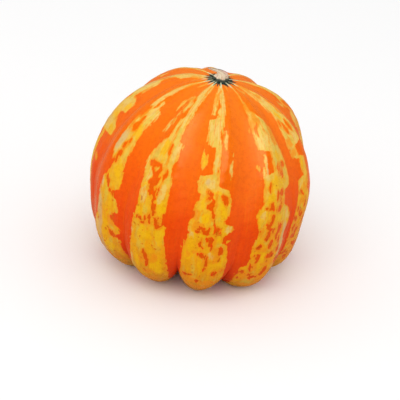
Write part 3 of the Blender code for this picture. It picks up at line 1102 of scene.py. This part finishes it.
@dataclass(frozen=True)
class RindFinish:
    """Hard, waxy rind: orange and broken yellow, green star, brown freckles, painted shade deep in the
    grooves and pale streaks of painted reflection.

    Heights are shares of the way from the stem to the blossom end. Streaks, crumbs and strands
    are the grains that fray the patches, and their millimetres are how far they move an edge.
    """

    name: str = "waxy_rind"
    streaks: Grain = Grain(34, 24, seed=1, detail=1.5)
    crumbs: Grain = Grain(58, 100, seed=5, detail=1.5)
    strands: Grain = Grain(46, 9, seed=41, detail=1.5)
    streaks_mm: float = 4.2
    crumbs_mm: float = 3.2
    strands_mm: float = 5.0
    yellow_edge: Edge = Edge(0.16)
    patch_edge: Edge = Edge(0.7)
    # The edge of the pale streaks of painted reflection.
    painted_sheen_edge: Edge = Edge(0.8, ragged=0.5)
    brown_edge: Edge = Edge(0.35, ragged=0.35)

    oranges: Stops = (
        (0.06, srgb(255, 128, 14)),
        (0.20, srgb(255, 120, 6)),
        (0.34, srgb(255, 108, 0)),
        (0.44, srgb(254, 92, 0)),
        (0.54, srgb(250, 76, 0)),
        (0.70, srgb(236, 64, 2)),
    )
    orange_drift: Mottle = Mottle(70, 900, 0.35)
    drift_height: float = 0.16
    light_lines: Grain = Grain(70, 5, seed=9)
    light_line: Tint = Tint(srgb(255, 150, 18), 0.14, (0.50, 0.75))
    fleck_orange: Tint = Tint(srgb(226, 100, 0), 0.65)
    fleck_depth_mm: Span = (-2.0, -0.8)
    fleck_height: Span = (0.30, 0.48)
    # Painted shade: brick red laid deep in the grooves between the lobes, stronger where the grooves are
    # deeper.
    orange_crease_shade: Tint = Tint(srgb(176, 34, 10), 0.85, (0.30, 1.0))

    yellows: Stops = (
        (0.05, srgb(249, 202, 104)),
        (0.22, srgb(248, 204, 98)),
        (0.36, srgb(247, 196, 74)),
        (0.46, srgb(249, 186, 34)),
        (0.58, srgb(250, 172, 14)),
        (0.70, srgb(232, 150, 24)),
    )
    clouds: Grain = Grain(13, 14, seed=21)
    bright_cloud: Tint = Tint(srgb(254, 192, 4), 0.45, (0.50, 0.60))
    bright_height: Span = (0.22, 0.42)
    green_cloud: Tint = Tint(srgb(226, 200, 76), 0.5, (0.47, 0.36))
    green_strand: Tint = Tint(srgb(226, 200, 76), 0.6, (0.50, 0.40))
    gold: Tint = Tint(srgb(254, 192, 4), 0.75)
    cream: Tint = Tint(srgb(242, 208, 122), 0.55)
    amber: Tint = Tint(srgb(252, 152, 20), 0.80)
    amber_rim: Tint = Tint(srgb(252, 152, 20), 0.65, (1.7, 0.2))
    dusting: Grain = Grain(55, 34, seed=33, detail=2.5)
    amber_dust: Tint = Tint(srgb(252, 152, 20), 0.6, (0.57, 0.68))
    peppering: Grain = Grain(24, 72, seed=51, detail=3.0)
    pepper: Tint = Tint(srgb(228, 100, 8), 0.75, (0.62, 0.67))
    pepper_height: Span = (0.38, 0.56)
    orange_strand: Tint = Tint(srgb(252, 138, 16), 0.6, (0.57, 0.66))
    # Painted reflection: the pale beige that the flanks show at a glancing angle.
    painted_sheen: Tint = Tint(srgb(222, 185, 130), 0.6)
    # Painted shade: a darker orange laid over the yellow deep in the grooves.
    yellow_crease_shade: Tint = Tint(srgb(200, 96, 20), 0.6, (0.45, 1.0))

    brown: Tint = Tint(srgb(196, 62, 0), 0.62)
    brown_dots: Freckles = Freckles(260, 0.16, 0.07)
    brown_dot: Tint = Tint(srgb(196, 62, 0), 0.6)
    light_pips: Freckles = Freckles(330, 0.15, 0.05)
    light_pip: Tint = Tint(srgb(255, 150, 18), 0.55)
    star_fringe: Grain = Grain(30, 60, seed=3)
    star_edge: Edge = Edge(0.35, ragged=2.0)
    star_green: Colour = srgb(20, 54, 42)
    star_blue: Tint = Tint(srgb(38, 64, 72), span=(0.40, 0.62))
    pale_ray: Tint = Tint(srgb(226, 232, 190), 0.88, (0.15, 0.85))
    scar: Tint = Tint(srgb(150, 112, 70))
    pores: Mottle = Mottle(420, 1100, 0.6)
    pore: Tint = Tint((0.80, 0.62, 0.50, 1.0), 0.36, (0.40, 0.72))

    wax: Mottle = Mottle(90, 1400, 0.4)
    wax_span: Span = (0.35, 0.70)
    roughness: Span = (0.15, 0.29)
    scar_roughness: float = 0.4
    fold_roughness: float = 0.5
    yellow_roughness: float = 0.03
    dimples: Mottle = Mottle(420, 1500, 0.5)
    growth_lines: Grain = Grain(45, 4, seed=14)
    line_height: float = 1.3
    yellow_height: float = 0.15
    bump_strength: float = 0.5
    bump_depth: float = 0.00016
    specular_level: float = 0.24
    specular_tint: Colour = (1.0, 0.62, 0.30, 1.0)

    def build(self, effects: SharedEffects) -> bpy.types.Material:
        """Makes the rind's material."""
        return RindSkin(self, effects).build()


class RindSkin(GrownSkin):
    """The rind's nodes: its masks, and the colour, gloss and relief that they lead to."""

    def __init__(self, finish: RindFinish, effects: SharedEffects) -> None:
        """Makes the material, and the grains and masks that several of its colours follow.

        Args:
            finish: the rind's colours and patterns.
            effects: the shared node groups.
        """
        super().__init__(finish.name, effects)
        self.finish = finish
        self.stranded = self.attribute("stranded")
        # Where painted shade darkens the grooves between the lobes.
        self.crease_shade = self.attribute("crease_shade")
        self.strands = self.grain(finish.strands)
        self.streaks, self.crumbs = self.grain(finish.streaks), self.grain(finish.crumbs)
        self.yellow = self.patch(Pigment.YELLOW, finish.yellow_edge)
        self.ambers = self.patch(Pigment.AMBER, finish.patch_edge)

    def patch(self, pigment: Pigment, edge: Edge, output: str = "Patch") -> Socket:
        """Where one pigment shows, with ragged, streaky edges.

        Args:
            pigment: which stored field to read.
            edge: how blurred and how frayed its edge is.
            output: "Patch" for the mask, "Depth" for the distance inside the edge.

        Returns:
            The mask or the distance.
        """
        return self.effect(self.effects.ragged_edge, output, {
            "Distance": self.attribute(pigment.value),
            "Softness": edge.softness,
            "Streaks": self.streaks,
            "Crumbs": self.crumbs,
            "Strands": self.strands,
            "Streaks Reach": self.finish.streaks_mm * edge.ragged,
            "Crumbs Reach": self.finish.crumbs_mm * edge.ragged,
            "Strands Reach": self.times(self.stranded, self.finish.strands_mm * edge.ragged),
        })

    def build(self) -> bpy.types.Material:
        """Joins colour, gloss and relief to the shader.

        Returns:
            The material.
        """
        colour = self.mix(self.yellow, self.orange_ground(), self.yellow_ground())
        self.feed(self.shader.inputs, {
            "Base Color": self.with_star(self.with_freckles(colour)),
            "Roughness": self.gloss(),
            "Normal": self.relief(),
            "Specular IOR Level": self.finish.specular_level,
            "Specular Tint": self.finish.specular_tint,
            "Metallic": 0.0,
        })
        return self.material

    def orange_ground(self) -> Socket:
        """The orange: lighter at the top, redder below, brown in flecks, and a painted shade of brick red
        deep in the grooves between the lobes.

        Returns:
            The colour's socket.
        """
        look = self.finish
        drift = self.minus(self.mottle(look.orange_drift), 0.5)
        colour = self.ramp(self.times_plus(drift, look.drift_height, self.along), look.oranges)
        colour = self.tinted(colour, self.grain(look.light_lines), look.light_line)
        in_stripe = self.fade(self.attribute(Pigment.YELLOW.value), *look.fleck_depth_mm)
        low_down = self.times(in_stripe, self.fade(self.along, *look.fleck_height))
        colour = self.tinted(colour, self.ambers, look.fleck_orange, within=low_down)
        # Painted shade deep in the grooves.
        return self.tinted(colour, self.crease_shade, look.orange_crease_shade)

    def yellow_ground(self) -> Socket:
        """The yellow: cream at the top, gold below, with cream, bright and amber patches, pale streaks of
        painted reflection and painted shade deep in the grooves.

        Returns:
            The colour's socket.
        """
        look = self.finish
        clouds = self.grain(look.clouds)
        low_down = self.fade(self.along, *look.bright_height)
        near_foot = self.fade(self.along, *look.pepper_height)
        depth = self.patch(Pigment.YELLOW, look.yellow_edge, "Depth")
        colour = self.ramp(self.along, look.yellows)
        for pattern, tint, within in (
            (clouds, look.bright_cloud, low_down),
            (clouds, look.green_cloud, 1.0),
            (self.strands, look.green_strand, self.stranded),
            (self.patch(Pigment.GOLD, look.patch_edge), look.gold, 1.0),
            (self.patch(Pigment.CREAM, look.patch_edge), look.cream, 1.0),
            (self.ambers, look.amber, 1.0),
            (depth, look.amber_rim, 1.0),
            (self.grain(look.dusting), look.amber_dust, 1.0),
            (self.grain(look.peppering), look.pepper, near_foot),
            (self.strands, look.orange_strand, self.stranded),
            # Pale streaks of painted reflection on the yellow.
            (self.patch(Pigment.BLOOM, look.painted_sheen_edge), look.painted_sheen, 1.0),
            # Painted shade deep in the grooves, on the yellow.
            (self.crease_shade, look.yellow_crease_shade, 1.0),
        ):
            colour = self.tinted(colour, pattern, tint, within)
        return colour

    def with_freckles(self, colour: Socket) -> Socket:
        """Adds brown marks, brown dots on the yellow and light pips on the orange.

        Args:
            colour: the orange and yellow ground.

        Returns:
            The colour's socket.
        """
        look = self.finish
        orange = self.minus(1.0, self.yellow)
        colour = self.tinted(colour, self.patch(Pigment.BROWN, look.brown_edge), look.brown)
        colour = self.tinted(colour, self.freckles(look.brown_dots), look.brown_dot, within=self.yellow)
        return self.tinted(colour, self.freckles(look.light_pips), look.light_pip, within=orange)

    def with_star(self, colour: Socket) -> Socket:
        """Adds the green star with its pale rays, the scar at the blossom end, and pores all over.

        Args:
            colour: the rind's colour so far.

        Returns:
            The colour's socket.
        """
        look = self.finish
        fringe = self.grain(look.star_fringe)
        star = self.effect(self.effects.ragged_edge, "Patch", {
            "Distance": self.attribute("star"),
            "Softness": look.star_edge.softness,
            "Streaks": fringe,
            "Streaks Reach": look.star_edge.ragged,
        })
        colour = self.mix(star, colour, self.tinted(look.star_green, fringe, look.star_blue))
        colour = self.tinted(colour, self.attribute("rays"), look.pale_ray)
        colour = self.tinted(colour, self.attribute("scar"), look.scar)
        pores = self.fade(self.mottle(look.pores), *look.pore.span, 0.0, look.pore.share)
        return self.mix(pores, colour, look.pore.colour, "MULTIPLY")

    def gloss(self) -> Socket:
        """Roughness: waxy, duller where the wax lies thick, on the scar and deep in the folds.

        Returns:
            The roughness's socket.
        """
        look = self.finish
        rough = self.fade(self.mottle(look.wax), *look.wax_span, *look.roughness)
        for mask, more in (
            (self.attribute("scar"), look.scar_roughness),
            (self.attribute("fold"), look.fold_roughness),
            (self.yellow, look.yellow_roughness),
        ):
            rough = self.times_plus(mask, more, rough)
        return rough

    def relief(self) -> Socket:
        """Fine dimples and growth lines as a bump, with the yellow a little proud.

        Returns:
            The normal's socket.
        """
        look = self.finish
        height = self.times_plus(self.grain(look.growth_lines), look.line_height, self.mottle(look.dimples))
        height = self.times_plus(self.yellow, look.yellow_height, height)
        return self.bump(height, look.bump_strength, look.bump_depth)


@dataclass(frozen=True)
class StemFinish:
    """Dry, corky stem: pale fibres with painted shade in their hollows, a darker upper side towards the
    tip, a painted pinkish-mauve shade on its upper side and a greenish foot.
    """

    name: str = "corky_stem"
    fibres: Grain = Grain(7, 2, seed=2, detail=4)
    cork_dark: Colour = srgb(218, 190, 156)
    cork: Tint = Tint(srgb(241, 226, 196), span=(0.40, 0.60))
    stains: Mottle = Mottle(500, 2600, 0.6)
    stain: Tint = Tint(srgb(204, 142, 138), 0.5, (0.50, 0.75))
    # Painted shade: pinkish mauve on the side of the stub that faces up where it bends, about its middle.
    painted_mauve_shade: Tint = Tint(srgb(204, 142, 138), 0.75)
    # Painted shade: darker brown in the hollows between the stub's ribs and lumps.
    cleft_shade: Tint = Tint(srgb(140, 100, 76), 0.45)
    # A dark grey-brown on the upper side of the stub, towards its tip.
    dark_top: Tint = Tint(srgb(104, 94, 88), 0.85)
    foot: Tint = Tint(srgb(30, 58, 50), 0.92)
    fibre_span: Span = (0.3, 0.7)
    roughness: Span = (0.92, 0.72)
    fibre_height: float = 1.5
    bump_strength: float = 0.8
    bump_depth: float = 0.0003
    specular_level: float = 0.25

    def build(self, effects: SharedEffects) -> bpy.types.Material:
        """Makes the stem's material.

        Args:
            effects: the shared node groups.

        Returns:
            The material.
        """
        skin = GrownSkin(self.name, effects)
        fibres, stains = skin.grain(self.fibres), skin.mottle(self.stains)
        colour = skin.tinted(self.cork_dark, fibres, self.cork)
        colour = skin.tinted(colour, stains, self.stain)
        for field_name, tint in (
            # Painted pinkish-mauve shade on the upper side.
            ("painted_mauve_shade", self.painted_mauve_shade),
            # Painted shade in the hollows.
            ("cleft_shade", self.cleft_shade),
            # Dark grey-brown on the upper side towards the tip.
            ("dark_top", self.dark_top),
            ("foot", self.foot),
        ):
            colour = skin.tinted(colour, skin.attribute(field_name), tint)
        height = skin.times_plus(fibres, self.fibre_height, stains)
        skin.feed(skin.shader.inputs, {
            "Base Color": colour,
            "Roughness": skin.fade(fibres, *self.fibre_span, *self.roughness),
            "Normal": skin.bump(height, self.bump_strength, self.bump_depth),
            "Specular IOR Level": self.specular_level,
        })
        return skin.material


# ------------------------------------------------------------------ pieces of the squash


def piece_from(name: str, bm: bmesh.types.BMesh, material: bpy.types.Material) -> bpy.types.Object:
    """Turns a bmesh into a smooth-shaded piece.

    Args:
        name: the piece's name.
        bm: its mesh, which is freed.
        material: its only material.

    Returns:
        The new object, in the scene.
    """
    mesh = bpy.data.meshes.new(name)
    bm.to_mesh(mesh)
    bm.free()
    mesh.shade_smooth()
    mesh.materials.append(material)
    made = bpy.data.objects.new(name, mesh)
    bpy.context.scene.collection.objects.link(made)
    return made


def store(mesh: bpy.types.Mesh, fields: dict[str, Array]) -> None:
    """Stores fields on a mesh for its finish to read.

    Args:
        mesh: the mesh.
        fields: by name, a number or a vector for each vertex.
    """
    for name, values in fields.items():
        kind, slot = ("FLOAT_VECTOR", "vector") if values.ndim == 2 else ("FLOAT", "value")
        mesh.attributes.new(name, kind, "POINT").data.foreach_set(slot, values.astype(np.float32).ravel())


def vertices_of(bm: bmesh.types.BMesh) -> Array:
    """The vertices' places, one row each."""
    return np.array([vertex.co for vertex in bm.verts])


def move_vertices(mesh: bpy.types.Mesh, points: Array) -> None:
    """Moves every vertex of a mesh."""
    mesh.vertices.foreach_set("co", points.astype(np.float32).ravel())
    mesh.update()


@dataclass
class Rind:
    """The visible skin of the squash, from the stem's foot to the scar underneath.

    Ripples run along the lines of growth and die out at the poles, and their heights are shares
    of the ripple. A degree at the scar measures only the scar's shrink of what it does elsewhere.
    """

    form: SquashForm
    markings: RindMarkings
    finish: RindFinish
    segments_per_lobe: int = 46
    rings: int = 214
    crowding: float = 12.0
    ripple: float = 0.00022
    ripples: tuple[Bumps, ...] = (Bumps(1.0, scale=9.0, seed=1), Bumps(0.5, scale=21.0, seed=4))
    ripple_stretch: float = 0.16
    ripple_fading: float = 0.6
    undulation: Bumps = Bumps(0.00030, scale=55.0, seed=2)
    dimples: Bumps = Bumps(0.00006, scale=300.0, seed=6)
    scar_rim: float = 0.0004
    scar_rim_spread: float = 1.2
    scar_radius_mm: float = 6.0
    scar_shrink: float = 0.72
    turn_in: float = 0.00025
    # How much painted shade the shallow grooves get, and the polar angles over which it comes in.
    shallow_crease_shade: float = 0.25
    crease_shade_start: Span = (30, 95)
    strands_start: Span = (8, 18)
    strands_end: Span = (40, 72)

    def build(self, effects: SharedEffects) -> bpy.types.Object:
        """Models the rind as a sheet wrapped round the form, and stores its growth fields.

        Args:
            effects: the shared node groups.

        Returns:
            The piece.
        """
        bm = bmesh.new()
        segments = self.segments_per_lobe * len(LOBES)
        bmesh.ops.create_grid(bm, x_segments=segments, y_segments=self.rings, size=1.0)
        sheet = vertices_of(bm)
        rind = piece_from("rind", bm, self.finish.build(effects))
        turn = np.round((sheet[:, 0] + 1) / 2 * segments) / segments
        polar = self.spread(90 * (1 - sheet[:, 1]))
        azimuth, _, across = self.form.lobe_position(turn)
        points = self.form.standing(turn, polar)
        outwards = points / np.linalg.norm(points, axis=1)[:, None]
        points += self.relief(azimuth, polar, points)[:, None] * outwards
        points += self.form.floor_shift()
        points[:, 2] = self.trimmed(points[:, 2])
        move_vertices(rind.data, points)
        store(rind.data, self.fields(azimuth, polar, across))
        self.close(rind.data)
        return rind

    @staticmethod
    def close(mesh: bpy.types.Mesh) -> None:
        """Joins the sheet's sides, gathers its top and bottom edge in a point, and turns it out.

        Args:
            mesh: the wrapped sheet, changed in place.
        """
        bm = bmesh.new()
        bm.from_mesh(mesh)
        bmesh.ops.remove_doubles(bm, verts=bm.verts, dist=TINY)
        bmesh.ops.recalc_face_normals(bm, faces=bm.faces)
        bm.to_mesh(mesh)
        bm.free()
        mesh.shade_smooth()

    def spread(self, polar: Array) -> Array:
        """Moves the mesh's rings closer together round the middle, where the markings are finest."""
        return polar + self.crowding * np.sin(np.radians(2 * polar))

    def relief(self, azimuth: Array, polar: Array, points: Array) -> Array:
        """How far the skin stands out from the smooth form.

        Args:
            azimuth, polar: the places, in degrees.
            points: the same places on the form, one row each.

        Returns:
            Metres.
        """
        along = np.radians(polar)
        ring = on_ring(np.radians(azimuth), self.ripple_stretch * along)
        ripples = sum(bumps.over(ring) for bumps in self.ripples)
        from_rim = self.from_scar(polar) - self.scar_radius_mm
        return (
            self.ripple * ripples * np.sin(along) ** self.ripple_fading
            + self.undulation.over(points)
            + self.dimples.over(points)
            + self.scar_rim * np.exp(-(from_rim**2) / self.scar_rim_spread)
        )

    def from_scar(self, polar: Array) -> Array:
        """Distance from the middle of the scar, in millimetres."""
        return (180 - polar) * DEGREE_MM * self.scar_shrink

    def trimmed(self, height: Array) -> Array:
        """Flattens what would lie below the floor, with a soft turn into the flat."""
        return 0.5 * (height + np.sqrt(height**2 + self.turn_in**2))

    def fields(self, azimuth: Array, polar: Array, across: Array) -> dict[str, Array]:
        """Growth direction, markings, folds and the painted shade of the grooves, which the finish reads.

        Args:
            azimuth, polar: the places, in degrees.
            across: their places across the lobe, -1 to 1.

        Returns:
            The fields by name.
        """
        around, from_stem = np.radians(azimuth), polar * DEGREE_MM
        star = self.markings.star
        fold = self.form.section(across, polar) ** 2
        depth = self.form.groove_depth(polar) / (self.form.waist_groove + self.form.foot_groove)
        darkness = self.shallow_crease_shade + (1 - self.shallow_crease_shade) * np.clip(depth, 0, 1)
        scar_edge = (self.scar_radius_mm - 1, self.scar_radius_mm + 1)
        pigments = self.markings.distances(azimuth, polar)
        return {
            "growth": np.stack([np.sin(around), -np.cos(around), polar / 180], -1),
            **{pigment.value: distance for pigment, distance in pigments.items()},
            "fold": fold,
            # Painted shade for the grooves, stronger where they are deeper.
            "crease_shade": fold * darkness * smooth_step(*self.crease_shade_start, polar),
            "stranded": band(self.strands_start, self.strands_end, polar),
            "star": star.inside(azimuth, from_stem),
            "rays": star.rays(azimuth, from_stem),
            "scar": 1 - smooth_step(*scar_edge, self.from_scar(polar)),
        }


@dataclass(frozen=True)
class StemRing:
    """One ring of the stub: where its middle lies, its radius and how far it tilts to the left."""

    middle: tuple[float, float, float]
    radius: float
    tilt: float


@dataclass
class StemStub:
    """The short, dry stub of the stem: a corky pad that thins out and bends over to the left.

    Ribs, lumps and fibres are shares of its radius; heights are shares of the way from foot to
    tip. The ribs twist by an angle over the stub's length. The upper side is the angle round the
    stub that faces up where it bends over.
    """

    form: SquashForm
    finish: StemFinish
    spine: tuple[StemRing, ...] = (
        StemRing((0.0, 0.0, -0.0006), 0.0041, 0.0),
        StemRing((0.0, 0.0, 0.0006), 0.0039, 0.0),
        StemRing((0.0, 0.0, 0.0014), 0.0037, 5.0),
        StemRing((0.0002, 0.0003, 0.0023), 0.0032, 14.0),
        StemRing((-0.0008, 0.0006, 0.0032), 0.0018, 34.0),
        StemRing((-0.0024, 0.0009, 0.0037), 0.0010, 58.0),
        StemRing((-0.0042, 0.0011, 0.0038), 0.0007, 74.0),
        StemRing((-0.0062, 0.0013, 0.0039), 0.0005, 82.0),
        StemRing((-0.0078, 0.0015, 0.0040), 0.0003, 85.0),
    )
    sides: int = 120
    rings: int = 79
    cap_rings: int = 5
    cap_step: float = 0.16
    rib_count: int = 6
    rib: float = 0.07
    rib_twist: float = 1.5
    lumps: Bumps = Bumps(0.10, scale=2.6, seed=2)
    fibres: Bumps = Bumps(0.05, scale=7.0, seed=9)
    stretch: float = 0.5
    broken_end: Bumps = Bumps(0.0004, scale=1.6, seed=5)
    broken_from: float = 0.99
    seat_gap: float = 0.0003
    upper_side: float = 50.0
    # How fast the painted shade in the hollows grows with their depth, and the heights over which it comes
    # in.
    cleft_shade_gain: float = 4.0
    cleft_shade_height: Span = (0.3, 0.6)
    # Where the dark grey-brown lies: towards the upper side, and from what height.
    dark_top_side: Span = (0.3, 0.9)
    dark_top_height: Span = (0.45, 0.6)
    # Where the painted mauve shade lies: towards the upper side, and the height and spread along the stub.
    mauve_shade_side: Span = (-0.2, 0.8)
    mauve_shade_place: Span = (0.42, 0.16)
    foot_height: Span = (0.10, 0.22)

    def build(self, effects: SharedEffects) -> bpy.types.Object:
        """Models the stub with ridges, a flared foot and a broken end.

        Args:
            effects: the shared node groups.

        Returns:
            The piece.
        """
        bm = self.tube()
        tube = vertices_of(bm)
        stub = piece_from("stem_stub", bm, self.finish.build(effects))
        height, around = tube[:, 2] + 0.5, np.arctan2(tube[:, 1], tube[:, 0])
        ribs = self.ribs(around, height)
        x, y, z, radius, tilt = self.along_spine(height)
        reach = radius * np.hypot(tube[:, 0], tube[:, 1]) * (1 + ribs)
        end = np.stack([tube[:, 0], tube[:, 1], 0 * height], -1)
        broken = self.broken_end.over(end) * (height > self.broken_from)
        aside = reach * np.cos(around)
        points = np.stack([
            x + aside * np.cos(tilt) - broken * np.sin(tilt),
            y + reach * np.sin(around),
            z + aside * np.sin(tilt) + broken * np.cos(tilt),
        ], -1)
        lean = np.array(Matrix.Rotation(math.radians(self.form.stem_lean), 3, "Y"))
        move_vertices(stub.data, points @ lean.T + self.seat())
        store(stub.data, self.fields(around, height, ribs))
        return stub

    def tube(self) -> bmesh.types.BMesh:
        """A closed upright tube of radius and length 1, with rings along it and over its ends.

        Returns:
            The tube's mesh.
        """
        bm = bmesh.new()
        bmesh.ops.create_cone(bm, cap_ends=True, segments=self.sides, radius1=1.0, radius2=1.0, depth=1.0)
        uprights = [edge for edge in bm.edges if abs(edge.verts[0].co.z - edge.verts[1].co.z) > 0.5]
        bmesh.ops.subdivide_edges(bm, edges=uprights, cuts=self.rings)
        caps = [face for face in bm.faces if len(face.verts) > 4]
        for _ in range(self.cap_rings):
            bmesh.ops.inset_individual(bm, faces=caps, thickness=self.cap_step, use_even_offset=False)
        return bm

    def ribs(self, around: Array, height: Array) -> Array:
        """How far ribs, lumps and fibres stand out.

        Args:
            around: angles round the stub.
            height: shares of the way from foot to tip.

        Returns:
            Shares of the radius.
        """
        ring = np.stack([np.cos(around), np.sin(around), self.stretch * height], -1)
        ribs = self.rib * np.cos(self.rib_count * around + self.rib_twist * height)
        return ribs + self.lumps.over(ring) + self.fibres.over(ring)

    def along_spine(self, height: Array) -> Array:
        """Middle, radius and tilt (in radians) of the stub's rings, running smoothly through the spine.

        Args:
            height: shares of the way from foot to tip.

        Returns:
            Five rows: x, y, z, radius, tilt.
        """
        knots = np.array([(*ring.middle, ring.radius, math.radians(ring.tilt)) for ring in self.spine])
        padded = np.vstack([2 * knots[0] - knots[1], knots, 2 * knots[-1] - knots[-2]])
        place = np.clip(height, 0, 1) * (len(knots) - 1)
        number = np.minimum(place.astype(int), len(knots) - 2)
        step = (place - number)[:, None]
        before, start, end, after = (padded[number + offset] for offset in range(4))
        bend = (2 * before - 5 * start + 4 * end - after) + (3 * start - before - 3 * end + after) * step
        return (start + 0.5 * step * ((end - before) + step * bend)).T

    def fields(self, around: Array, height: Array, ribs: Array) -> dict[str, Array]:
        """Direction of the fibres, and where the stub has painted shade in its hollows, a darker upper
        side, a painted pinkish-mauve shade or a green foot.

        Args:
            around: angles round the stub.
            height: shares of the way from foot to tip.
            ribs: how far the skin stands out, as shares of the radius.

        Returns:
            The fields by name.
        """
        upper = np.cos(around - math.radians(self.upper_side))
        # Darker grey-brown on the upper side, towards the tip.
        dark_top = smooth_step(*self.dark_top_side, upper)
        return {
            "growth": np.stack([np.cos(around), np.sin(around), height], -1),
            # Painted shade in the hollows between the ribs, above the foot.
            "cleft_shade": np.clip(-ribs * self.cleft_shade_gain, 0, 1) * smooth_step(*self.cleft_shade_height, height),
            "dark_top": dark_top * smooth_step(*self.dark_top_height, height),
            # Painted mauve shade on the upper side.
            "painted_mauve_shade": smooth_step(*self.mauve_shade_side, upper) * swell(height, *self.mauve_shade_place),
            "foot": 1 - smooth_step(*self.foot_height, height),
        }

    def seat(self) -> Array:
        """The place on the rind where the stub grows."""
        crown = self.form.standing(np.array(0.0), np.array(0.0)) + self.form.floor_shift()
        return crown + np.array([0, 0, self.seat_gap])


# ------------------------------------------------------------------ studio


def direction(azimuth: float, elevation: float) -> Vector:
    """The unit vector towards an azimuth (0 is -Y, 90 is +X) and an elevation."""
    around, up = math.radians(azimuth), math.radians(elevation)
    return Vector((math.sin(around) * math.cos(up), -math.cos(around) * math.cos(up), math.sin(up)))


class LightRole(Enum):
    """What a soft light is for: the soft shine on the rind, or the even light all over."""

    KEY = "key"
    FILL = "fill"


@dataclass(frozen=True)
class SoftBox:
    """A rectangular soft light that points at the squash."""

    role: LightRole
    azimuth: float
    elevation: float
    distance: float
    width: float
    height: float
    radiance: float

    def build(self, target: Vector) -> bpy.types.Object:
        """Places the light on its bearing from the target.

        Args:
            target: what it points at.

        Returns:
            The light.
        """
        data = bpy.data.lights.new(f"soft_box_{self.role.value}", "AREA")
        data.shape = "RECTANGLE"
        data.size = self.width
        data.size_y = self.height
        data.energy = self.radiance * math.pi * self.width * self.height
        lamp = bpy.data.objects.new(data.name, data)
        lamp.visible_diffuse = self.role is LightRole.FILL
        lamp.visible_glossy = self.role is LightRole.KEY
        bearing = direction(self.azimuth, self.elevation)
        lamp.location = target + bearing * self.distance
        lamp.rotation_euler = (-bearing).to_track_quat("-Z", "Y").to_euler()
        bpy.context.scene.collection.objects.link(lamp)
        return lamp


@dataclass(frozen=True)
class Viewpoint:
    """A camera in front of the squash that looks down at it, slightly rolled."""

    elevation: float = 26.68
    roll: float = 4.47
    distance: float = 0.915
    middle_height: float = 0.056
    drop: float = 0.0182
    frame_width: float = 0.2291
    sensor_width_mm: float = 36.0

    def build(self) -> bpy.types.Object:
        """Makes the camera and gives it to the scene.

        Returns:
            The camera.
        """
        data = bpy.data.cameras.new("front_camera")
        data.sensor_width = self.sensor_width_mm
        data.lens = self.sensor_width_mm * self.distance / self.frame_width
        camera = bpy.data.objects.new("front_camera", data)
        bpy.context.scene.collection.objects.link(camera)
        middle = Vector((0, 0, self.middle_height))
        back = direction(0, self.elevation)
        level_up = (Vector((0, 0, 1)) - back * back.z).normalized()
        roll = math.radians(self.roll)
        up = level_up * math.cos(roll) - Vector((1, 0, 0)) * math.sin(roll)
        place = middle + back * self.distance
        towards = (middle - up * self.drop - place).normalized()
        side = towards.cross(up).normalized()
        axes = Matrix((side, side.cross(towards), -towards)).transposed()
        camera.matrix_world = Matrix.Translation(place) @ axes.to_4x4()
        bpy.context.scene.camera = camera
        return camera


@dataclass(frozen=True)
class Studio:
    """Pale floor, white surroundings and soft boxes; what the rind mirrors of them is warmer."""

    floor_radius: float = 4.0
    floor_sides: int = 96
    floor_roughness: float = 0.9
    floor_specular: float = 0.1
    surround: float = 0.88
    white: Colour = (1.0, 1.0, 1.0, 1.0)
    mirrored_surround: Colour = (0.58, 0.32, 0.17, 1.0)
    floor_bounce: Colour = (0.60, 0.60, 0.60, 1.0)
    mirrored_floor: Colour = (0.68, 0.44, 0.25, 1.0)
    key: SoftBox = SoftBox(
        LightRole.KEY, azimuth=34, elevation=42, distance=0.75, width=0.62, height=0.72, radiance=7.6
    )
    fill: SoftBox = SoftBox(
        LightRole.FILL, azimuth=-18, elevation=52, distance=1.3, width=1.1, height=1.1, radiance=1.12
    )

    def build(self, target: Vector) -> None:
        """Makes floor, world and lights, and sets how colours are shown.

        Args:
            target: the middle of the squash.
        """
        self.build_floor()
        world = bpy.data.worlds.new("surround")
        world.use_nodes = True
        nodes = Nodes(world.node_tree)
        backdrop = world.node_tree.nodes["Background"]
        mirrored = nodes.add("ShaderNodeLightPath", {}).outputs["Is Glossy Ray"]
        colour = nodes.mix(mirrored, self.white, self.mirrored_surround)
        nodes.feed(backdrop.inputs, {"Color": colour, "Strength": self.surround})
        bpy.context.scene.world = world
        for light in (self.key, self.fill):
            light.build(target)
        bpy.context.scene.view_settings.view_transform = "Standard"

    def build_floor(self) -> None:
        """A large pale disc at the height that the squash stands on."""
        bm = bmesh.new()
        bmesh.ops.create_circle(bm, cap_ends=True, segments=self.floor_sides, radius=self.floor_radius)
        material = bpy.data.materials.new("pale_floor")
        material.use_nodes = True
        nodes = Nodes(material.node_tree)
        path = nodes.add("ShaderNodeLightPath", {}).outputs
        unseen = nodes.mix(path["Is Glossy Ray"], self.floor_bounce, self.mirrored_floor)
        nodes.feed(material.node_tree.nodes["Principled BSDF"].inputs, {
            "Base Color": nodes.mix(path["Is Camera Ray"], unseen, self.white),
            "Roughness": self.floor_roughness,
            "Specular IOR Level": self.floor_specular,
        })
        piece_from("floor", bm, material)


# ------------------------------------------------------------------ putting it together


def dress(piece: bpy.types.Object, node: str, slot: str) -> None:
    """Lets a piece ride on the body and stand for a CAD node, and reports it.

    Args:
        piece: the finished piece.
        node: the CAD node that it replaces.
        slot: the record's slot that its finish belongs to.
    """
    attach(piece, BODY)
    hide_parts(node)
    LOG.info("%s: %d faces, stands for %s, finish %s", piece.name, len(piece.data.polygons), node, slot)


def main() -> None:
    """Builds the squash, its finishes and the studio, in that order."""
    logging.basicConfig(level=logging.INFO, format="%(name)s: %(message)s")
    effects = SharedEffects()
    form = SquashForm()
    rind = Rind(form, RindMarkings(), RindFinish()).build(effects)
    dress(rind, "fruit", "rind")
    stub = StemStub(form, StemFinish()).build(effects)
    dress(stub, "stem", "dry_stem")
    low, high = CAD_BOX
    Studio().build((low + high) / 2)
    Viewpoint().build()


if __name__ == "__main__":
    main()
